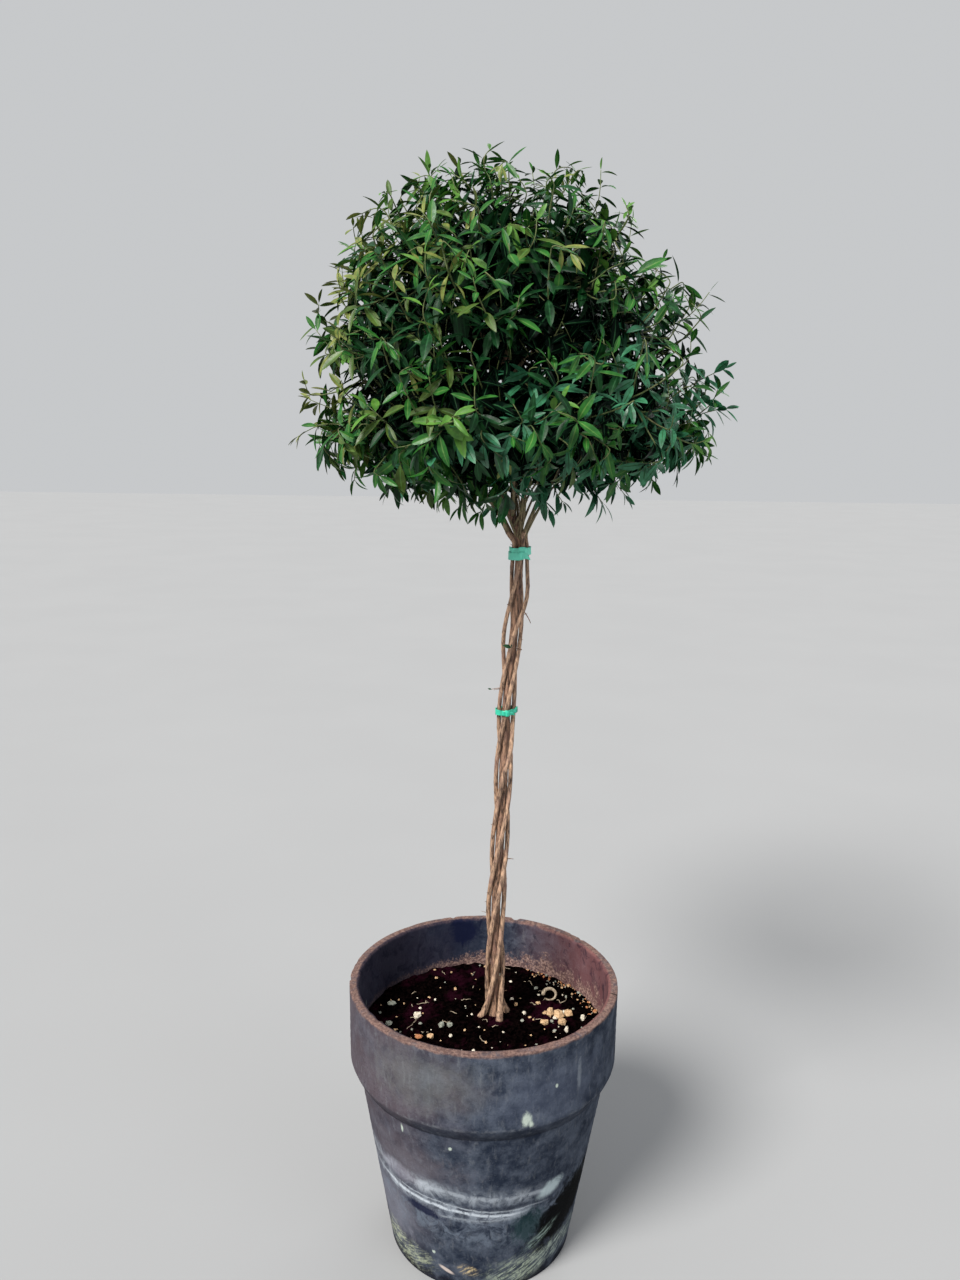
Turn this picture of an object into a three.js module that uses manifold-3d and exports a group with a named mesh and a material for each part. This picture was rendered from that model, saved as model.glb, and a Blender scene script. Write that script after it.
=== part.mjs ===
// A lollipop topiary: a small-leaved evergreen shrub trained as a standard. A bundle of twisted stems rises
// from the potting soil of a clay pot, is tied twice with soft tape, and fans out into a dome of leafy shoots.
// Millimetres, +Z up. The origin is the middle of the pot's underside, and the pot's axis is the Z axis.
import * as THREE from "three";
import { mergeVertices } from "three/addons/utils/BufferGeometryUtils.js";
import Module from "manifold-3d";

const wasm = await Module();
wasm.setup();

// Clearance between neighbouring solids
const GAP = 0.3;
// Points nearer than this are one point
const WELD = 1e-3;

// Clay pot
const POT_HEIGHT = 166;
const RIM_RADIUS = 80;
const LIP_WIDTH = 5.6;
const LIP_ROUNDING = 1.4;
const COLLAR_HEIGHT = 46.5;
const COLLAR_SLOPE_HEIGHT = 8;
const BODY_TOP_RADIUS = 74;
const BODY_FOOT_RADIUS = 55.5;
const WALL = 7;
const FLOOR = 10;
const POT_SIDES = 48;

// Potting soil
const SOIL_MIDDLE = 138;
const SOIL_EDGE = 134.5;
const SOIL_FLAT_RADIUS = 17;

// Trunk: one main stem and the thinner stems twisted round it
const TRUNK_FOOT = SOIL_MIDDLE + GAP;
const TRUNK_X = 6.5;
const TRUNK_Y = 7;
const TRUNK_LEAN = 10.5;
const FORK_HEIGHT = 425;
const MAIN_TIP_HEIGHT = 556;
const MAIN_FOOT_RADIUS = 2.7;
const MAIN_FORK_RADIUS = 2.3;
const MAIN_TIP_RADIUS = 1.5;
const COMPANION_COUNT = 4;
const COMPANION_FOOT_RADIUS = 1.45;
const COMPANION_TIP_RADIUS = 1.05;
const COMPANION_TIP_HEIGHT = 433;
const TWIST_PITCH = 165;
const TWIST_START = 0.35;
const ROOT_FLARE = 0.45;
const ROOT_FLARE_HEIGHT = 7;

// Tape ties
const UPPER_TIE = { height: 422, width: 4.6, tilt: 0.03 };
const LOWER_TIE = { height: 330, width: 3.2, tilt: 0.12 };
const TAPE_THICKNESS = 0.8;
const TAPE_CLEARANCE = 0.45;

// Crown: a dome on a shallower bowl. Its axis leans to -X above the waist
const CROWN_X = 13;
const CROWN_Y = 4;
const CROWN_WAIST = 492;
const CROWN_RADIUS = 114;
const CROWN_RISE = 136;
const CROWN_DROP = 54;
const CROWN_LEAN = 10;
const CROWN_LEAN_TOP = 580;
const DOME_POWER = 1.95;
const BOWL_POWER = 2.4;
const TIP_REACH = 9;
// Single sprigs that reach past the outline at the sides and the top: x and z of their leaf tips
const SPRIGS = [
  [-112, 481],
  [-110, 503],
  [-101, 540],
  [-89, 568],
  [-75, 593],
  [20, 633],
  [56, 625],
  [97, 585],
  [119, 563],
  [134, 519],
  [133, 498],
  [128, 474],
];
const SPRIG_ORIGIN_HEIGHT = 500;
const SPRIG_SIDESTEP = 14;
const SPRIG_REACH = 16;
const SPRIG_LEAF = 6;

// Masses: a low ring, a high ring and the top, with level borders between them
const LOW_TOP = 526;
const HIGH_TOP = 576;
const HIGH_COUNT = 4;
// What each low mass grows from: a thin stem's number, or -1 for the main stem
const LOW_SUPPORTS = [0, -1, 1, 2, -1, 3];
const MASS_MARGIN = 0.3;
const HEART_DEPTH = 28;
const HEART_ROUGHNESS = 3;
const HEART_SIDES = 22;
const HEART_ROWS = 9;
const HOLLOW_RADIUS = 22;

// Boughs
const BOUGH_RADIUS = 1.1;
const BOUGH_TIP_RADIUS = 0.9;
const BOUGH_REACH = 20;
const FAN_SHIFT = 6;
const BOUGH_RISE = 22;
const LOW_BOUGH_HEIGHT = 441;
const HIGH_BOUGH_HEIGHT = 511;
const BOUGH_STAGGER = 5;

// Shoots and leaves
const SHOOT_COUNT = 118;
const SHOOT_ROOT_DEPTH = 5;
const SHOOT_ROOT_RADIUS = 1.3;
const SHOOT_TIP_RADIUS = 1;
const SHOOT_TILT = 0.8;
const SHOOT_NUDGE = 3;
const SHOOT_TRIES = 4;
const SHOOT_ROLLS = 5;
const LEAF_PAIRS = 2;
const LEAF_PAIR_STEP = 7;
const LEAF_LENGTH = 27;
const LEAF_WIDTH = 9.6;
const LEAF_THICKNESS = 1.1;
const LEAF_WIDEST = 0.45;
const LEAF_ANGLE = 1.1;
const LEAF_SUNK = 0.3;
const LEAF_DROOP = 0.3;
const SHOOT_SEED = 41;

const GOLDEN_ANGLE = Math.PI * (3 - Math.sqrt(5));
const COLOURS = {
  clay: new THREE.MeshStandardMaterial({ color: 0x474a54, roughness: 0.85, metalness: 0 }),
  soil: new THREE.MeshStandardMaterial({ color: 0x1c120e, roughness: 0.95, metalness: 0 }),
  bark: new THREE.MeshStandardMaterial({ color: 0x76604c, roughness: 0.85, metalness: 0 }),
  tape: new THREE.MeshStandardMaterial({ color: 0x2fb596, roughness: 0.4, metalness: 0 }),
  foliage: new THREE.MeshStandardMaterial({ color: 0x245c30, roughness: 0.5, metalness: 0 }),
};

// Repeatable numbers from 0 to 1
function seeded(seed) {
  let state = seed >>> 0;
  return () => {
    state = (Math.imul(state, 1664525) + 1013904223) >>> 0;
    return state / 2 ** 32;
  };
}

function smooth(value, start, end) {
  const t = Math.min(1, Math.max(0, (value - start) / (end - start)));
  return t * t * (3 - 2 * t);
}

function solidOf(geometry) {
  const bare = geometry.clone();
  bare.deleteAttribute("normal");
  bare.deleteAttribute("uv");
  const merged = mergeVertices(bare, WELD);
  return new wasm.Manifold(
    new wasm.Mesh({
      numProp: 3,
      vertProperties: new Float32Array(merged.getAttribute("position").array),
      triVerts: new Uint32Array(merged.index.array),
    }),
  );
}

function geometryOf(solid) {
  const { vertProperties, triVerts } = solid.getMesh();
  const geometry = new THREE.BufferGeometry();
  geometry.setAttribute("position", new THREE.BufferAttribute(vertProperties, 3));
  geometry.setIndex(new THREE.BufferAttribute(triVerts, 1));
  geometry.computeVertexNormals();
  return geometry;
}

// A closed body from points and the faces between them
function facets(points, faces) {
  const geometry = new THREE.BufferGeometry();
  geometry.setAttribute("position", new THREE.Float32BufferAttribute(points.flatMap((p) => p.toArray()), 3));
  geometry.setIndex(faces.flat());
  return geometry;
}

// A tapering limb round a line of centres, with flat ends
function limb(centres, radii, sides) {
  const points = [];
  const faces = [];
  let across = new THREE.Vector3(1, 0, 0);
  centres.forEach((centre, i) => {
    const before = centres[Math.max(0, i - 1)];
    const after = centres[Math.min(centres.length - 1, i + 1)];
    const along = after.clone().sub(before).normalize();
    across = across.clone().addScaledVector(along, -across.dot(along)).normalize();
    const other = along.clone().cross(across);
    for (let k = 0; k < sides; k++) {
      const angle = (2 * Math.PI * k) / sides;
      points.push(
        centre
          .clone()
          .addScaledVector(across, radii[i] * Math.cos(angle))
          .addScaledVector(other, radii[i] * Math.sin(angle)),
      );
    }
  });
  const ring = (i, k) => i * sides + (k % sides);
  for (let i = 0; i + 1 < centres.length; i++)
    for (let k = 0; k < sides; k++) {
      faces.push([ring(i, k), ring(i, k + 1), ring(i + 1, k)]);
      faces.push([ring(i, k + 1), ring(i + 1, k + 1), ring(i + 1, k)]);
    }
  const last = centres.length - 1;
  for (let k = 1; k + 1 < sides; k++) {
    faces.push([ring(0, 0), ring(0, k + 1), ring(0, k)]);
    faces.push([ring(last, 0), ring(last, k), ring(last, k + 1)]);
  }
  return facets(points, faces);
}

function levels(start, end, count) {
  return Array.from({ length: count + 1 }, (_, i) => start + ((end - start) * i) / count);
}

// Pot and soil

const COLLAR_FOOT = POT_HEIGHT - COLLAR_HEIGHT;
const BODY_TOP = COLLAR_FOOT - COLLAR_SLOPE_HEIGHT;

// Inside of the pot's wall at a height
function potInside(z) {
  const rim = RIM_RADIUS - LIP_WIDTH;
  const shoulder = BODY_TOP_RADIUS - WALL;
  if (z >= COLLAR_FOOT) return rim - 1.8 * ((POT_HEIGHT - z) / COLLAR_HEIGHT);
  if (z >= BODY_TOP) return THREE.MathUtils.mapLinear(z, BODY_TOP, COLLAR_FOOT, shoulder, rim - 1.8);
  return THREE.MathUtils.mapLinear(z, FLOOR, BODY_TOP, BODY_FOOT_RADIUS - WALL, shoulder);
}

function potGeometry() {
  const rimInside = RIM_RADIUS - LIP_WIDTH;
  const round = LIP_ROUNDING;
  const profile = [
    [0, 0],
    [BODY_FOOT_RADIUS - 1.2, 0],
    [BODY_FOOT_RADIUS, 1.5],
    [BODY_TOP_RADIUS, BODY_TOP],
    [RIM_RADIUS - 0.4, COLLAR_FOOT],
    [RIM_RADIUS, POT_HEIGHT - round],
    [RIM_RADIUS - round, POT_HEIGHT],
    [rimInside + round, POT_HEIGHT],
    [rimInside, POT_HEIGHT - round],
    [potInside(COLLAR_FOOT), COLLAR_FOOT],
    [potInside(BODY_TOP), BODY_TOP],
    [potInside(FLOOR), FLOOR],
    [0, FLOOR],
  ];
  return upright(new THREE.LatheGeometry(profile.map(([r, z]) => new THREE.Vector2(r, z)), POT_SIDES));
}

function soilGeometry() {
  const bottom = FLOOR + GAP;
  const wall = (z) => [potInside(z) - 2 * GAP, z];
  const profile = [
    [0, bottom],
    wall(bottom),
    wall(BODY_TOP),
    wall(COLLAR_FOOT),
    wall(SOIL_EDGE),
    [SOIL_FLAT_RADIUS, SOIL_MIDDLE],
    [0, SOIL_MIDDLE],
  ];
  return upright(new THREE.LatheGeometry(profile.map(([r, z]) => new THREE.Vector2(r, z)), POT_SIDES));
}

// LatheGeometry turns round Y: this turns it up to Z
function upright(geometry) {
  return geometry.rotateX(Math.PI / 2);
}

// Trunk

// Centre of the main stem: it leans to +X up to the fork, swings back under the crown and then climbs
function trunkCentre(z) {
  const share = Math.min(1, (z - TRUNK_FOOT) / (FORK_HEIGHT - TRUNK_FOOT));
  const swingBack = 13 * smooth(z, FORK_HEIGHT, FORK_HEIGHT + 40) - 4 * smooth(z, FORK_HEIGHT + 40, MAIN_TIP_HEIGHT);
  return new THREE.Vector3(
    TRUNK_X + TRUNK_LEAN * share ** 2 - swingBack + 0.5 * Math.sin(z / 19) * smooth(z, TRUNK_FOOT, TRUNK_FOOT + 40),
    TRUNK_Y - 3 * share,
    z,
  );
}

function rootFlare(z) {
  return 1 + ROOT_FLARE * Math.exp(-(z - TRUNK_FOOT) / ROOT_FLARE_HEIGHT);
}

function mainRadius(z) {
  const low = THREE.MathUtils.mapLinear(z, TRUNK_FOOT, FORK_HEIGHT, MAIN_FOOT_RADIUS, MAIN_FORK_RADIUS);
  const high = THREE.MathUtils.mapLinear(z, FORK_HEIGHT, MAIN_TIP_HEIGHT, MAIN_FORK_RADIUS, MAIN_TIP_RADIUS);
  return (z < FORK_HEIGHT ? low : high) * rootFlare(z);
}

function companionRadius(z) {
  return (
    THREE.MathUtils.mapLinear(z, TRUNK_FOOT, COMPANION_TIP_HEIGHT, COMPANION_FOOT_RADIUS, COMPANION_TIP_RADIUS) *
    rootFlare(z)
  );
}

// How far each thin stem stands off the main one: loose loops where the bundle opens
function looseness(index, z) {
  const loops = [
    { middle: 392, reach: 24, size: 3.4 },
    { middle: 236, reach: 30, size: 1.2 },
    { middle: 301, reach: 22, size: 2.6 },
    { middle: 376, reach: 30, size: 1.6 },
  ];
  const { middle, reach, size } = loops[index % loops.length];
  const flare = 1.4 * Math.exp(-(z - TRUNK_FOOT) / ROOT_FLARE_HEIGHT);
  const opening = 3.5 * smooth(z, FORK_HEIGHT + 1, COMPANION_TIP_HEIGHT + 2);
  return flare + opening + size * Math.exp(-(((z - middle) / reach) ** 2) * 2);
}

function companionCentre(index, z) {
  const turn = (2 * Math.PI * (z - FORK_HEIGHT)) / TWIST_PITCH;
  const angle = TWIST_START + (2 * Math.PI * index) / COMPANION_COUNT + turn;
  const distance = mainRadius(z) + companionRadius(z) * 1.06 + GAP * 1.3 + looseness(index, z);
  const centre = trunkCentre(Math.min(z, FORK_HEIGHT)).setZ(z);
  centre.x -= 2.2 * smooth(z, FORK_HEIGHT, COMPANION_TIP_HEIGHT);
  return centre.add(new THREE.Vector3(distance * Math.cos(angle), distance * Math.sin(angle), 0));
}

// A stem with a flat cut at its foot
function stem(centreAt, radiusAt, foot, tip, steps, sides) {
  const heights = levels(foot, tip, steps);
  const geometry = limb(heights.map(centreAt), heights.map(radiusAt), sides);
  const position = geometry.getAttribute("position");
  for (let k = 0; k < sides; k++) position.setZ(k, foot);
  return geometry;
}

// Tape ties

// The convex outline that wraps every stem over a band of heights
function bundleOutline(height, width, clearance) {
  const circles = levels(height - width / 2 - 1, height + width / 2 + 1, 4).flatMap((z) => [
    { centre: trunkCentre(z), radius: mainRadius(z) },
    ...Array.from({ length: COMPANION_COUNT }, (_, i) => ({
      centre: companionCentre(i, z),
      radius: companionRadius(z) * 1.06,
    })),
  ]);
  const directions = 24;
  return Array.from({ length: directions }, (_, i) => {
    const angle = (2 * Math.PI * i) / directions;
    const out = new THREE.Vector2(Math.cos(angle), Math.sin(angle));
    const reach = ({ centre, radius }) => centre.x * out.x + centre.y * out.y + radius;
    const furthest = circles.reduce((best, circle) => (reach(circle) > reach(best) ? circle : best));
    return new THREE.Vector2(furthest.centre.x, furthest.centre.y).addScaledVector(
      out,
      furthest.radius + clearance,
    );
  });
}

function tieGeometry({ height, width, tilt }) {
  const shape = new THREE.Shape(bundleOutline(height, width, TAPE_CLEARANCE + TAPE_THICKNESS));
  shape.holes.push(new THREE.Path(bundleOutline(height, width, TAPE_CLEARANCE)));
  const geometry = new THREE.ExtrudeGeometry(shape, { depth: width, bevelEnabled: false });
  const middle = trunkCentre(height);
  const lean = new THREE.Matrix4().set(1, 0, 0, 0, 0, 1, 0, 0, tilt, 0, 1, 0, 0, 0, 0, 1);
  return geometry.translate(-middle.x, 0, height - width / 2).applyMatrix4(lean).translate(middle.x, 0, 0);
}

// Crown

// Radius of the crown's outline at a height
function crownRadius(z) {
  const up = z >= CROWN_WAIST;
  const share = up ? (z - CROWN_WAIST) / CROWN_RISE : (CROWN_WAIST - z) / CROWN_DROP;
  const power = up ? DOME_POWER : BOWL_POWER;
  return share >= 1 ? 0 : CROWN_RADIUS * (1 - share ** power) ** (1 / power);
}

function crownCentre(z) {
  return new THREE.Vector3(CROWN_X - CROWN_LEAN * smooth(z, CROWN_WAIST, CROWN_LEAN_TOP), CROWN_Y, z);
}

// How far inside the crown's outline a point lies, as a distance from the waist's middle: under 1 is inside
function crownShare(point, grow) {
  const dz = point.z - CROWN_WAIST;
  const flat = point.distanceTo(crownCentre(point.z)) / (CROWN_RADIUS + grow);
  const rise = Math.abs(dz) / ((dz >= 0 ? CROWN_RISE : CROWN_DROP) + grow);
  const power = dz >= 0 ? DOME_POWER : BOWL_POWER;
  return (flat ** power + rise ** power) ** (1 / power);
}

// The crown's masses, each with a space of its own: a wedge of one of the rings, or the top
function masses() {
  const ring = (kind, count, turn, floor, ceiling) =>
    Array.from({ length: count }, (_, i) => ({
      name: `foliage_${kind}_${i + 1}`,
      kind,
      index: i,
      floor,
      ceiling,
      middle: turn + (2 * Math.PI * i) / count,
      half: Math.PI / count,
    }));
  return [
    ...ring("low", LOW_SUPPORTS.length, Math.PI / 6, CROWN_WAIST - CROWN_DROP - TIP_REACH, LOW_TOP),
    ...ring("high", HIGH_COUNT, 0, LOW_TOP, HIGH_TOP),
    { name: "foliage_top", kind: "top", index: 0, floor: HIGH_TOP, ceiling: CROWN_WAIST + CROWN_RISE + TIP_REACH },
  ];
}

// The upright line the wedges meet at, where the main stem climbs
function columnCentre() {
  return trunkCentre(MAIN_TIP_HEIGHT - 50);
}

// True where a point lies in a mass's space, a margin inside its borders with the other masses
function inSpace(mass, point, margin, reach = TIP_REACH) {
  if (point.z < mass.floor + margin || point.z > mass.ceiling - margin) return false;
  if (crownShare(point, reach) > 1) return false;
  if (mass.kind === "top") return true;
  const column = columnCentre();
  const x = point.x - column.x;
  const y = point.y - column.y;
  const along = x * Math.cos(mass.middle) + y * Math.sin(mass.middle);
  const across = Math.abs(y * Math.cos(mass.middle) - x * Math.sin(mass.middle));
  return along * Math.sin(mass.half) - across * Math.cos(mass.half) > margin;
}

function massMiddle(mass) {
  const height = (Math.max(mass.floor, CROWN_WAIST - CROWN_DROP + HEART_DEPTH) + mass.ceiling) / 2;
  if (mass.kind === "top") return crownCentre(HIGH_TOP + 12);
  const distance = mass.kind === "low" ? 54 : 48;
  const out = new THREE.Vector3(Math.cos(mass.middle), Math.sin(mass.middle), 0);
  return columnCentre().setZ(height).addScaledVector(out, distance);
}

// The dense heart of the whole crown, before it is cut into masses
function heartSolid() {
  const random = seeded(SHOOT_SEED);
  const profile = levels(0, Math.PI, HEART_ROWS).map((t) => {
    const z = -Math.cos(t) * (t < Math.PI / 2 ? CROWN_DROP - HEART_DEPTH : CROWN_RISE - HEART_DEPTH);
    return new THREE.Vector2(Math.sin(t) * (CROWN_RADIUS - HEART_DEPTH), z);
  });
  profile[0].x = 0;
  profile[HEART_ROWS].x = 0;
  const heart = mergeVertices(bareGeometry(upright(new THREE.LatheGeometry(profile, HEART_SIDES))), WELD);
  const position = heart.getAttribute("position");
  for (let i = 0; i < position.count; i++) {
    const point = new THREE.Vector3().fromBufferAttribute(position, i);
    point.multiplyScalar(1 + (HEART_ROUGHNESS * (random() - 0.5) * 2) / point.length());
    const centre = crownCentre(point.z + CROWN_WAIST);
    position.setXYZ(i, point.x + centre.x, point.y + centre.y, centre.z);
  }
  return solidOf(heart);
}

// The part of the heart that lies in a mass's space, hollow round the main stem
function massHeart(mass, heart) {
  const far = 400;
  const column = columnCentre();
  if (mass.kind === "top") {
    const above = new THREE.BoxGeometry(far, far, far).translate(0, 0, mass.floor + MASS_MARGIN + far / 2);
    return heart.intersect(solidOf(above));
  }
  const out = new THREE.Vector2(Math.cos(mass.middle), Math.sin(mass.middle));
  const apex = new THREE.Vector2(column.x, column.y).addScaledVector(out, MASS_MARGIN / Math.sin(mass.half));
  const edge = (side) => out.clone().rotateAround(new THREE.Vector2(), side * mass.half).multiplyScalar(far).add(apex);
  const wedge = new THREE.ExtrudeGeometry(new THREE.Shape([apex, edge(-1), edge(1)]), {
    depth: mass.ceiling - mass.floor - 2 * MASS_MARGIN,
    bevelEnabled: false,
  }).translate(0, 0, mass.floor + MASS_MARGIN);
  const hollow = upright(new THREE.CylinderGeometry(HOLLOW_RADIUS, HOLLOW_RADIUS, far, 24));
  return heart.intersect(solidOf(wedge)).subtract(solidOf(hollow.translate(column.x, column.y, CROWN_WAIST)));
}

function bareGeometry(geometry) {
  geometry.deleteAttribute("normal");
  geometry.deleteAttribute("uv");
  return geometry;
}

// Boughs

// The line of the limb that carries a mass, from its stem to where it enters the mass
function boughOf(mass) {
  if (mass.kind === "top") return null;
  const out = new THREE.Vector3(Math.cos(mass.middle), Math.sin(mass.middle), 0);
  const support = mass.kind === "low" ? LOW_SUPPORTS[mass.index] : -1;
  let start;
  let height;
  if (support < 0) {
    height = mass.kind === "low" ? LOW_BOUGH_HEIGHT : HIGH_BOUGH_HEIGHT + BOUGH_STAGGER * mass.index;
    start = trunkCentre(height).addScaledVector(out, mainRadius(height) + GAP + BOUGH_RADIUS);
  } else {
    height = COMPANION_TIP_HEIGHT;
    const tip = companionCentre(support, height);
    const along = tip.clone().sub(companionCentre(support, height - 2)).normalize();
    start = tip.addScaledVector(along, GAP * 1.5);
  }
  const end = columnCentre().addScaledVector(out, BOUGH_REACH).setZ(height + BOUGH_RISE);
  if (mass.kind === "low") end.x += FAN_SHIFT;
  const bend = start.clone().lerp(end, 0.45);
  bend.z += 0.2 * BOUGH_RISE;
  return new THREE.QuadraticBezierCurve3(start, bend, end);
}

function boughGeometry(curve, grow) {
  const shares = levels(0, 1, 4);
  const radii = shares.map((t) => THREE.MathUtils.lerp(BOUGH_RADIUS, BOUGH_TIP_RADIUS, t) + grow);
  return limb(shares.map((t) => curve.getPoint(t)), radii, 6);
}

// Shoots

// Points spread evenly over the crown's outline, each with the way out from the crown there
function shootTargets() {
  const rows = levels(-0.99, 0.995, 400).map((t) => {
    const z = CROWN_WAIST + t * (t >= 0 ? CROWN_RISE : CROWN_DROP);
    return { z, radius: crownRadius(z) };
  });
  let area = 0;
  rows.forEach((row, i) => {
    const before = rows[Math.max(0, i - 1)];
    area += (row.radius + before.radius) * Math.hypot(row.radius - before.radius, row.z - before.z);
    row.area = area;
  });
  const targets = Array.from({ length: SHOOT_COUNT }, (_, i) => {
    const { z, radius } = rows.find((row) => row.area >= (area * (i + 0.5)) / SHOOT_COUNT);
    const angle = i * GOLDEN_ANGLE;
    const point = crownCentre(z).add(new THREE.Vector3(radius * Math.cos(angle), radius * Math.sin(angle), 0));
    const slope = (crownRadius(z - 1) - crownRadius(z + 1)) / 2;
    const out = new THREE.Vector3(Math.cos(angle), Math.sin(angle), slope).normalize();
    return { point, out };
  });
  SPRIGS.forEach(([x, z], i) => {
    const tip = new THREE.Vector3(x, CROWN_Y + (i % 2 ? SPRIG_SIDESTEP : -SPRIG_SIDESTEP), z);
    const out = tip.clone().sub(crownCentre(SPRIG_ORIGIN_HEIGHT)).normalize();
    const nearest = targets.reduce((a, b) => (b.point.distanceTo(tip) < a.point.distanceTo(tip) ? b : a));
    nearest.point = tip.addScaledVector(out, -SPRIG_LEAF);
    nearest.out = out;
    nearest.reach = SPRIG_REACH;
  });
  return targets;
}

// A shoot runs from the heart of its mass towards the outline, tilted a little at random
function shootCurve(target, random) {
  const stray = random() < 0.15 ? -TIP_REACH * 0.5 : TIP_REACH * random();
  const short = target.reach ? 0 : stray;
  const tip = target.point.clone().addScaledVector(target.out, -LEAF_LENGTH * 0.62 - short);
  const tilt = () => SHOOT_TILT * (random() - 0.5);
  const inward = target.out.clone().negate().add(new THREE.Vector3(tilt(), tilt(), tilt())).normalize();
  const depth = HEART_DEPTH - LEAF_LENGTH * 0.62 + HEART_ROUGHNESS + SHOOT_ROOT_DEPTH;
  const start = tip.clone().addScaledVector(inward, target.reach ? depth + TIP_REACH : depth);
  return new THREE.LineCurve3(start, tip);
}

// A shoot that keeps to its mass's space: it is moved off the borders a little at a time
function fittingShoot(mass, target, random) {
  const clearance = MASS_MARGIN + SHOOT_ROOT_RADIUS;
  const inwards = massMiddle(mass).sub(target.point).projectOnPlane(target.out).normalize();
  for (let step = 0; step < SHOOT_TRIES; step++) {
    const point = target.point.clone().addScaledVector(inwards, SHOOT_NUDGE * step);
    const curve = shootCurve({ ...target, point }, random);
    if ([curve.v1, curve.v2].every((end) => inSpace(mass, end, clearance))) return curve;
  }
  return null;
}

// A closed eight-faced leaf, from its root inside the shoot to its drooping tip
function leafPoints(root, along, facing, length) {
  const side = along.clone().cross(facing).normalize();
  const widest = root.clone().addScaledVector(along, length * LEAF_WIDEST);
  const corner = (direction, distance) => widest.clone().addScaledVector(direction, distance);
  const tip = root.clone().addScaledVector(along, length);
  tip.z -= LEAF_DROOP * length * 0.35;
  return [
    root,
    corner(side, LEAF_WIDTH / 2),
    corner(facing, LEAF_THICKNESS / 2),
    corner(side, -LEAF_WIDTH / 2),
    corner(facing, -LEAF_THICKNESS / 2),
    tip,
  ];
}

const LEAF_FACES = [1, 2, 3, 4].flatMap((corner) => {
  const next = (corner % 4) + 1;
  return [
    [0, corner, next],
    [5, next, corner],
  ];
});

// The leaves of a shoot: opposite pairs, each turned a quarter from the last, and one at the tip
function shootLeaves(curve, random) {
  const length = curve.getLength();
  const along = curve.getTangent(1);
  const across = new THREE.Vector3(-along.y, along.x, 0.3).cross(along).normalize();
  const roll = random() * Math.PI;
  const tip = leafPoints(
    curve.getPoint(1).addScaledVector(along, -LEAF_SUNK * 3),
    along,
    across,
    LEAF_LENGTH * (0.7 + 0.3 * random()),
  );
  const pairs = Array.from({ length: LEAF_PAIRS }, (_, pair) =>
    [0, Math.PI].map((turn) => {
      const side = across.clone().applyAxisAngle(along, roll + turn + (pair * Math.PI) / 2);
      const way = along.clone().multiplyScalar(Math.cos(LEAF_ANGLE)).addScaledVector(side, Math.sin(LEAF_ANGLE));
      way.z -= LEAF_DROOP * random();
      way.normalize();
      const root = curve.getPoint(1 - (LEAF_PAIR_STEP * (pair + 0.4)) / length).addScaledVector(way, -LEAF_SUNK);
      const facing = along.clone().addScaledVector(way, -along.dot(way)).normalize();
      return leafPoints(root, way, facing, LEAF_LENGTH * (0.8 + 0.3 * random()));
    }),
  );
  return [tip, ...pairs.flat()];
}

// A mass: heart, stem from its bough, shoots and leaves, joined to one body.
// What would leave its space, or touch a limb or an earlier leaf, is left off.
function massSolid(mass, bough, heart, limbSpace, targets) {
  const random = seeded(SHOOT_SEED + [...mass.name].reduce((sum, c) => sum + c.charCodeAt(0), 0));
  const root = bough
    ? bough.getPoint(1).addScaledVector(bough.getTangent(1), GAP * 1.5)
    : trunkCentre(MAIN_TIP_HEIGHT).add(new THREE.Vector3(0, 0, GAP * 1.5));
  let solid = massHeart(mass, heart);
  solid = solid.add(solidOf(limb([root, massMiddle(mass)], [BOUGH_TIP_RADIUS, BOUGH_TIP_RADIUS], 5)));
  const placed = [limbSpace];
  const touches = (piece) => placed.some((other) => !piece.intersect(other).isEmpty());
  const fittingLeaves = (leaves, reach) =>
    leaves
      .filter((points) => points.every((p) => inSpace(mass, p, MASS_MARGIN, reach)))
      .map((points) => solidOf(facets(points, LEAF_FACES)))
      .filter((leaf) => !touches(leaf));
  for (const target of targets) {
    if (!inSpace(mass, target.point, 0, target.reach)) continue;
    const curve = fittingShoot(mass, target, random);
    if (!curve) continue;
    const shoot = solidOf(limb([curve.v1, curve.v2], [SHOOT_ROOT_RADIUS, SHOOT_TIP_RADIUS], 3));
    if (touches(shoot)) continue;
    const leaves = levels(1, SHOOT_ROLLS, SHOOT_ROLLS - 1)
      .map(() => fittingLeaves(shootLeaves(curve, random), target.reach))
      .reduce((best, other) => (other.length > best.length ? other : best));
    solid = solid.add(shoot);
    for (const leaf of leaves) solid = solid.add(leaf);
    placed.push(...leaves);
    placed.push(shoot);
  }
  return oneBody(solid);
}

// The outer shell of the largest body, with no loose scraps and no sealed hollows
function oneBody(solid) {
  const bodies = solid.decompose();
  const largest = bodies.reduce((a, b) => (b.volume() > a.volume() ? b : a));
  const welded = solidOf(geometryOf(largest));
  return welded.decompose().length > 1 ? oneBody(welded) : welded;
}

// The whole plant

const topiary = new THREE.Group();

function addPart(name, geometry, material) {
  const mesh = new THREE.Mesh(geometry, material);
  mesh.name = name;
  topiary.add(mesh);
}

addPart("pot", potGeometry(), COLOURS.clay);
addPart("soil", soilGeometry(), COLOURS.soil);
addPart("main_stem", stem(trunkCentre, mainRadius, TRUNK_FOOT, MAIN_TIP_HEIGHT, 36, 8), COLOURS.bark);
for (let i = 0; i < COMPANION_COUNT; i++) {
  const centreAt = (z) => companionCentre(i, z);
  addPart(
    `thin_stem_${i + 1}`,
    stem(centreAt, companionRadius, TRUNK_FOOT, COMPANION_TIP_HEIGHT, 30, 6),
    COLOURS.bark,
  );
}
addPart("tie_upper", tieGeometry(UPPER_TIE), COLOURS.tape);
addPart("tie_lower", tieGeometry(LOWER_TIE), COLOURS.tape);

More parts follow.
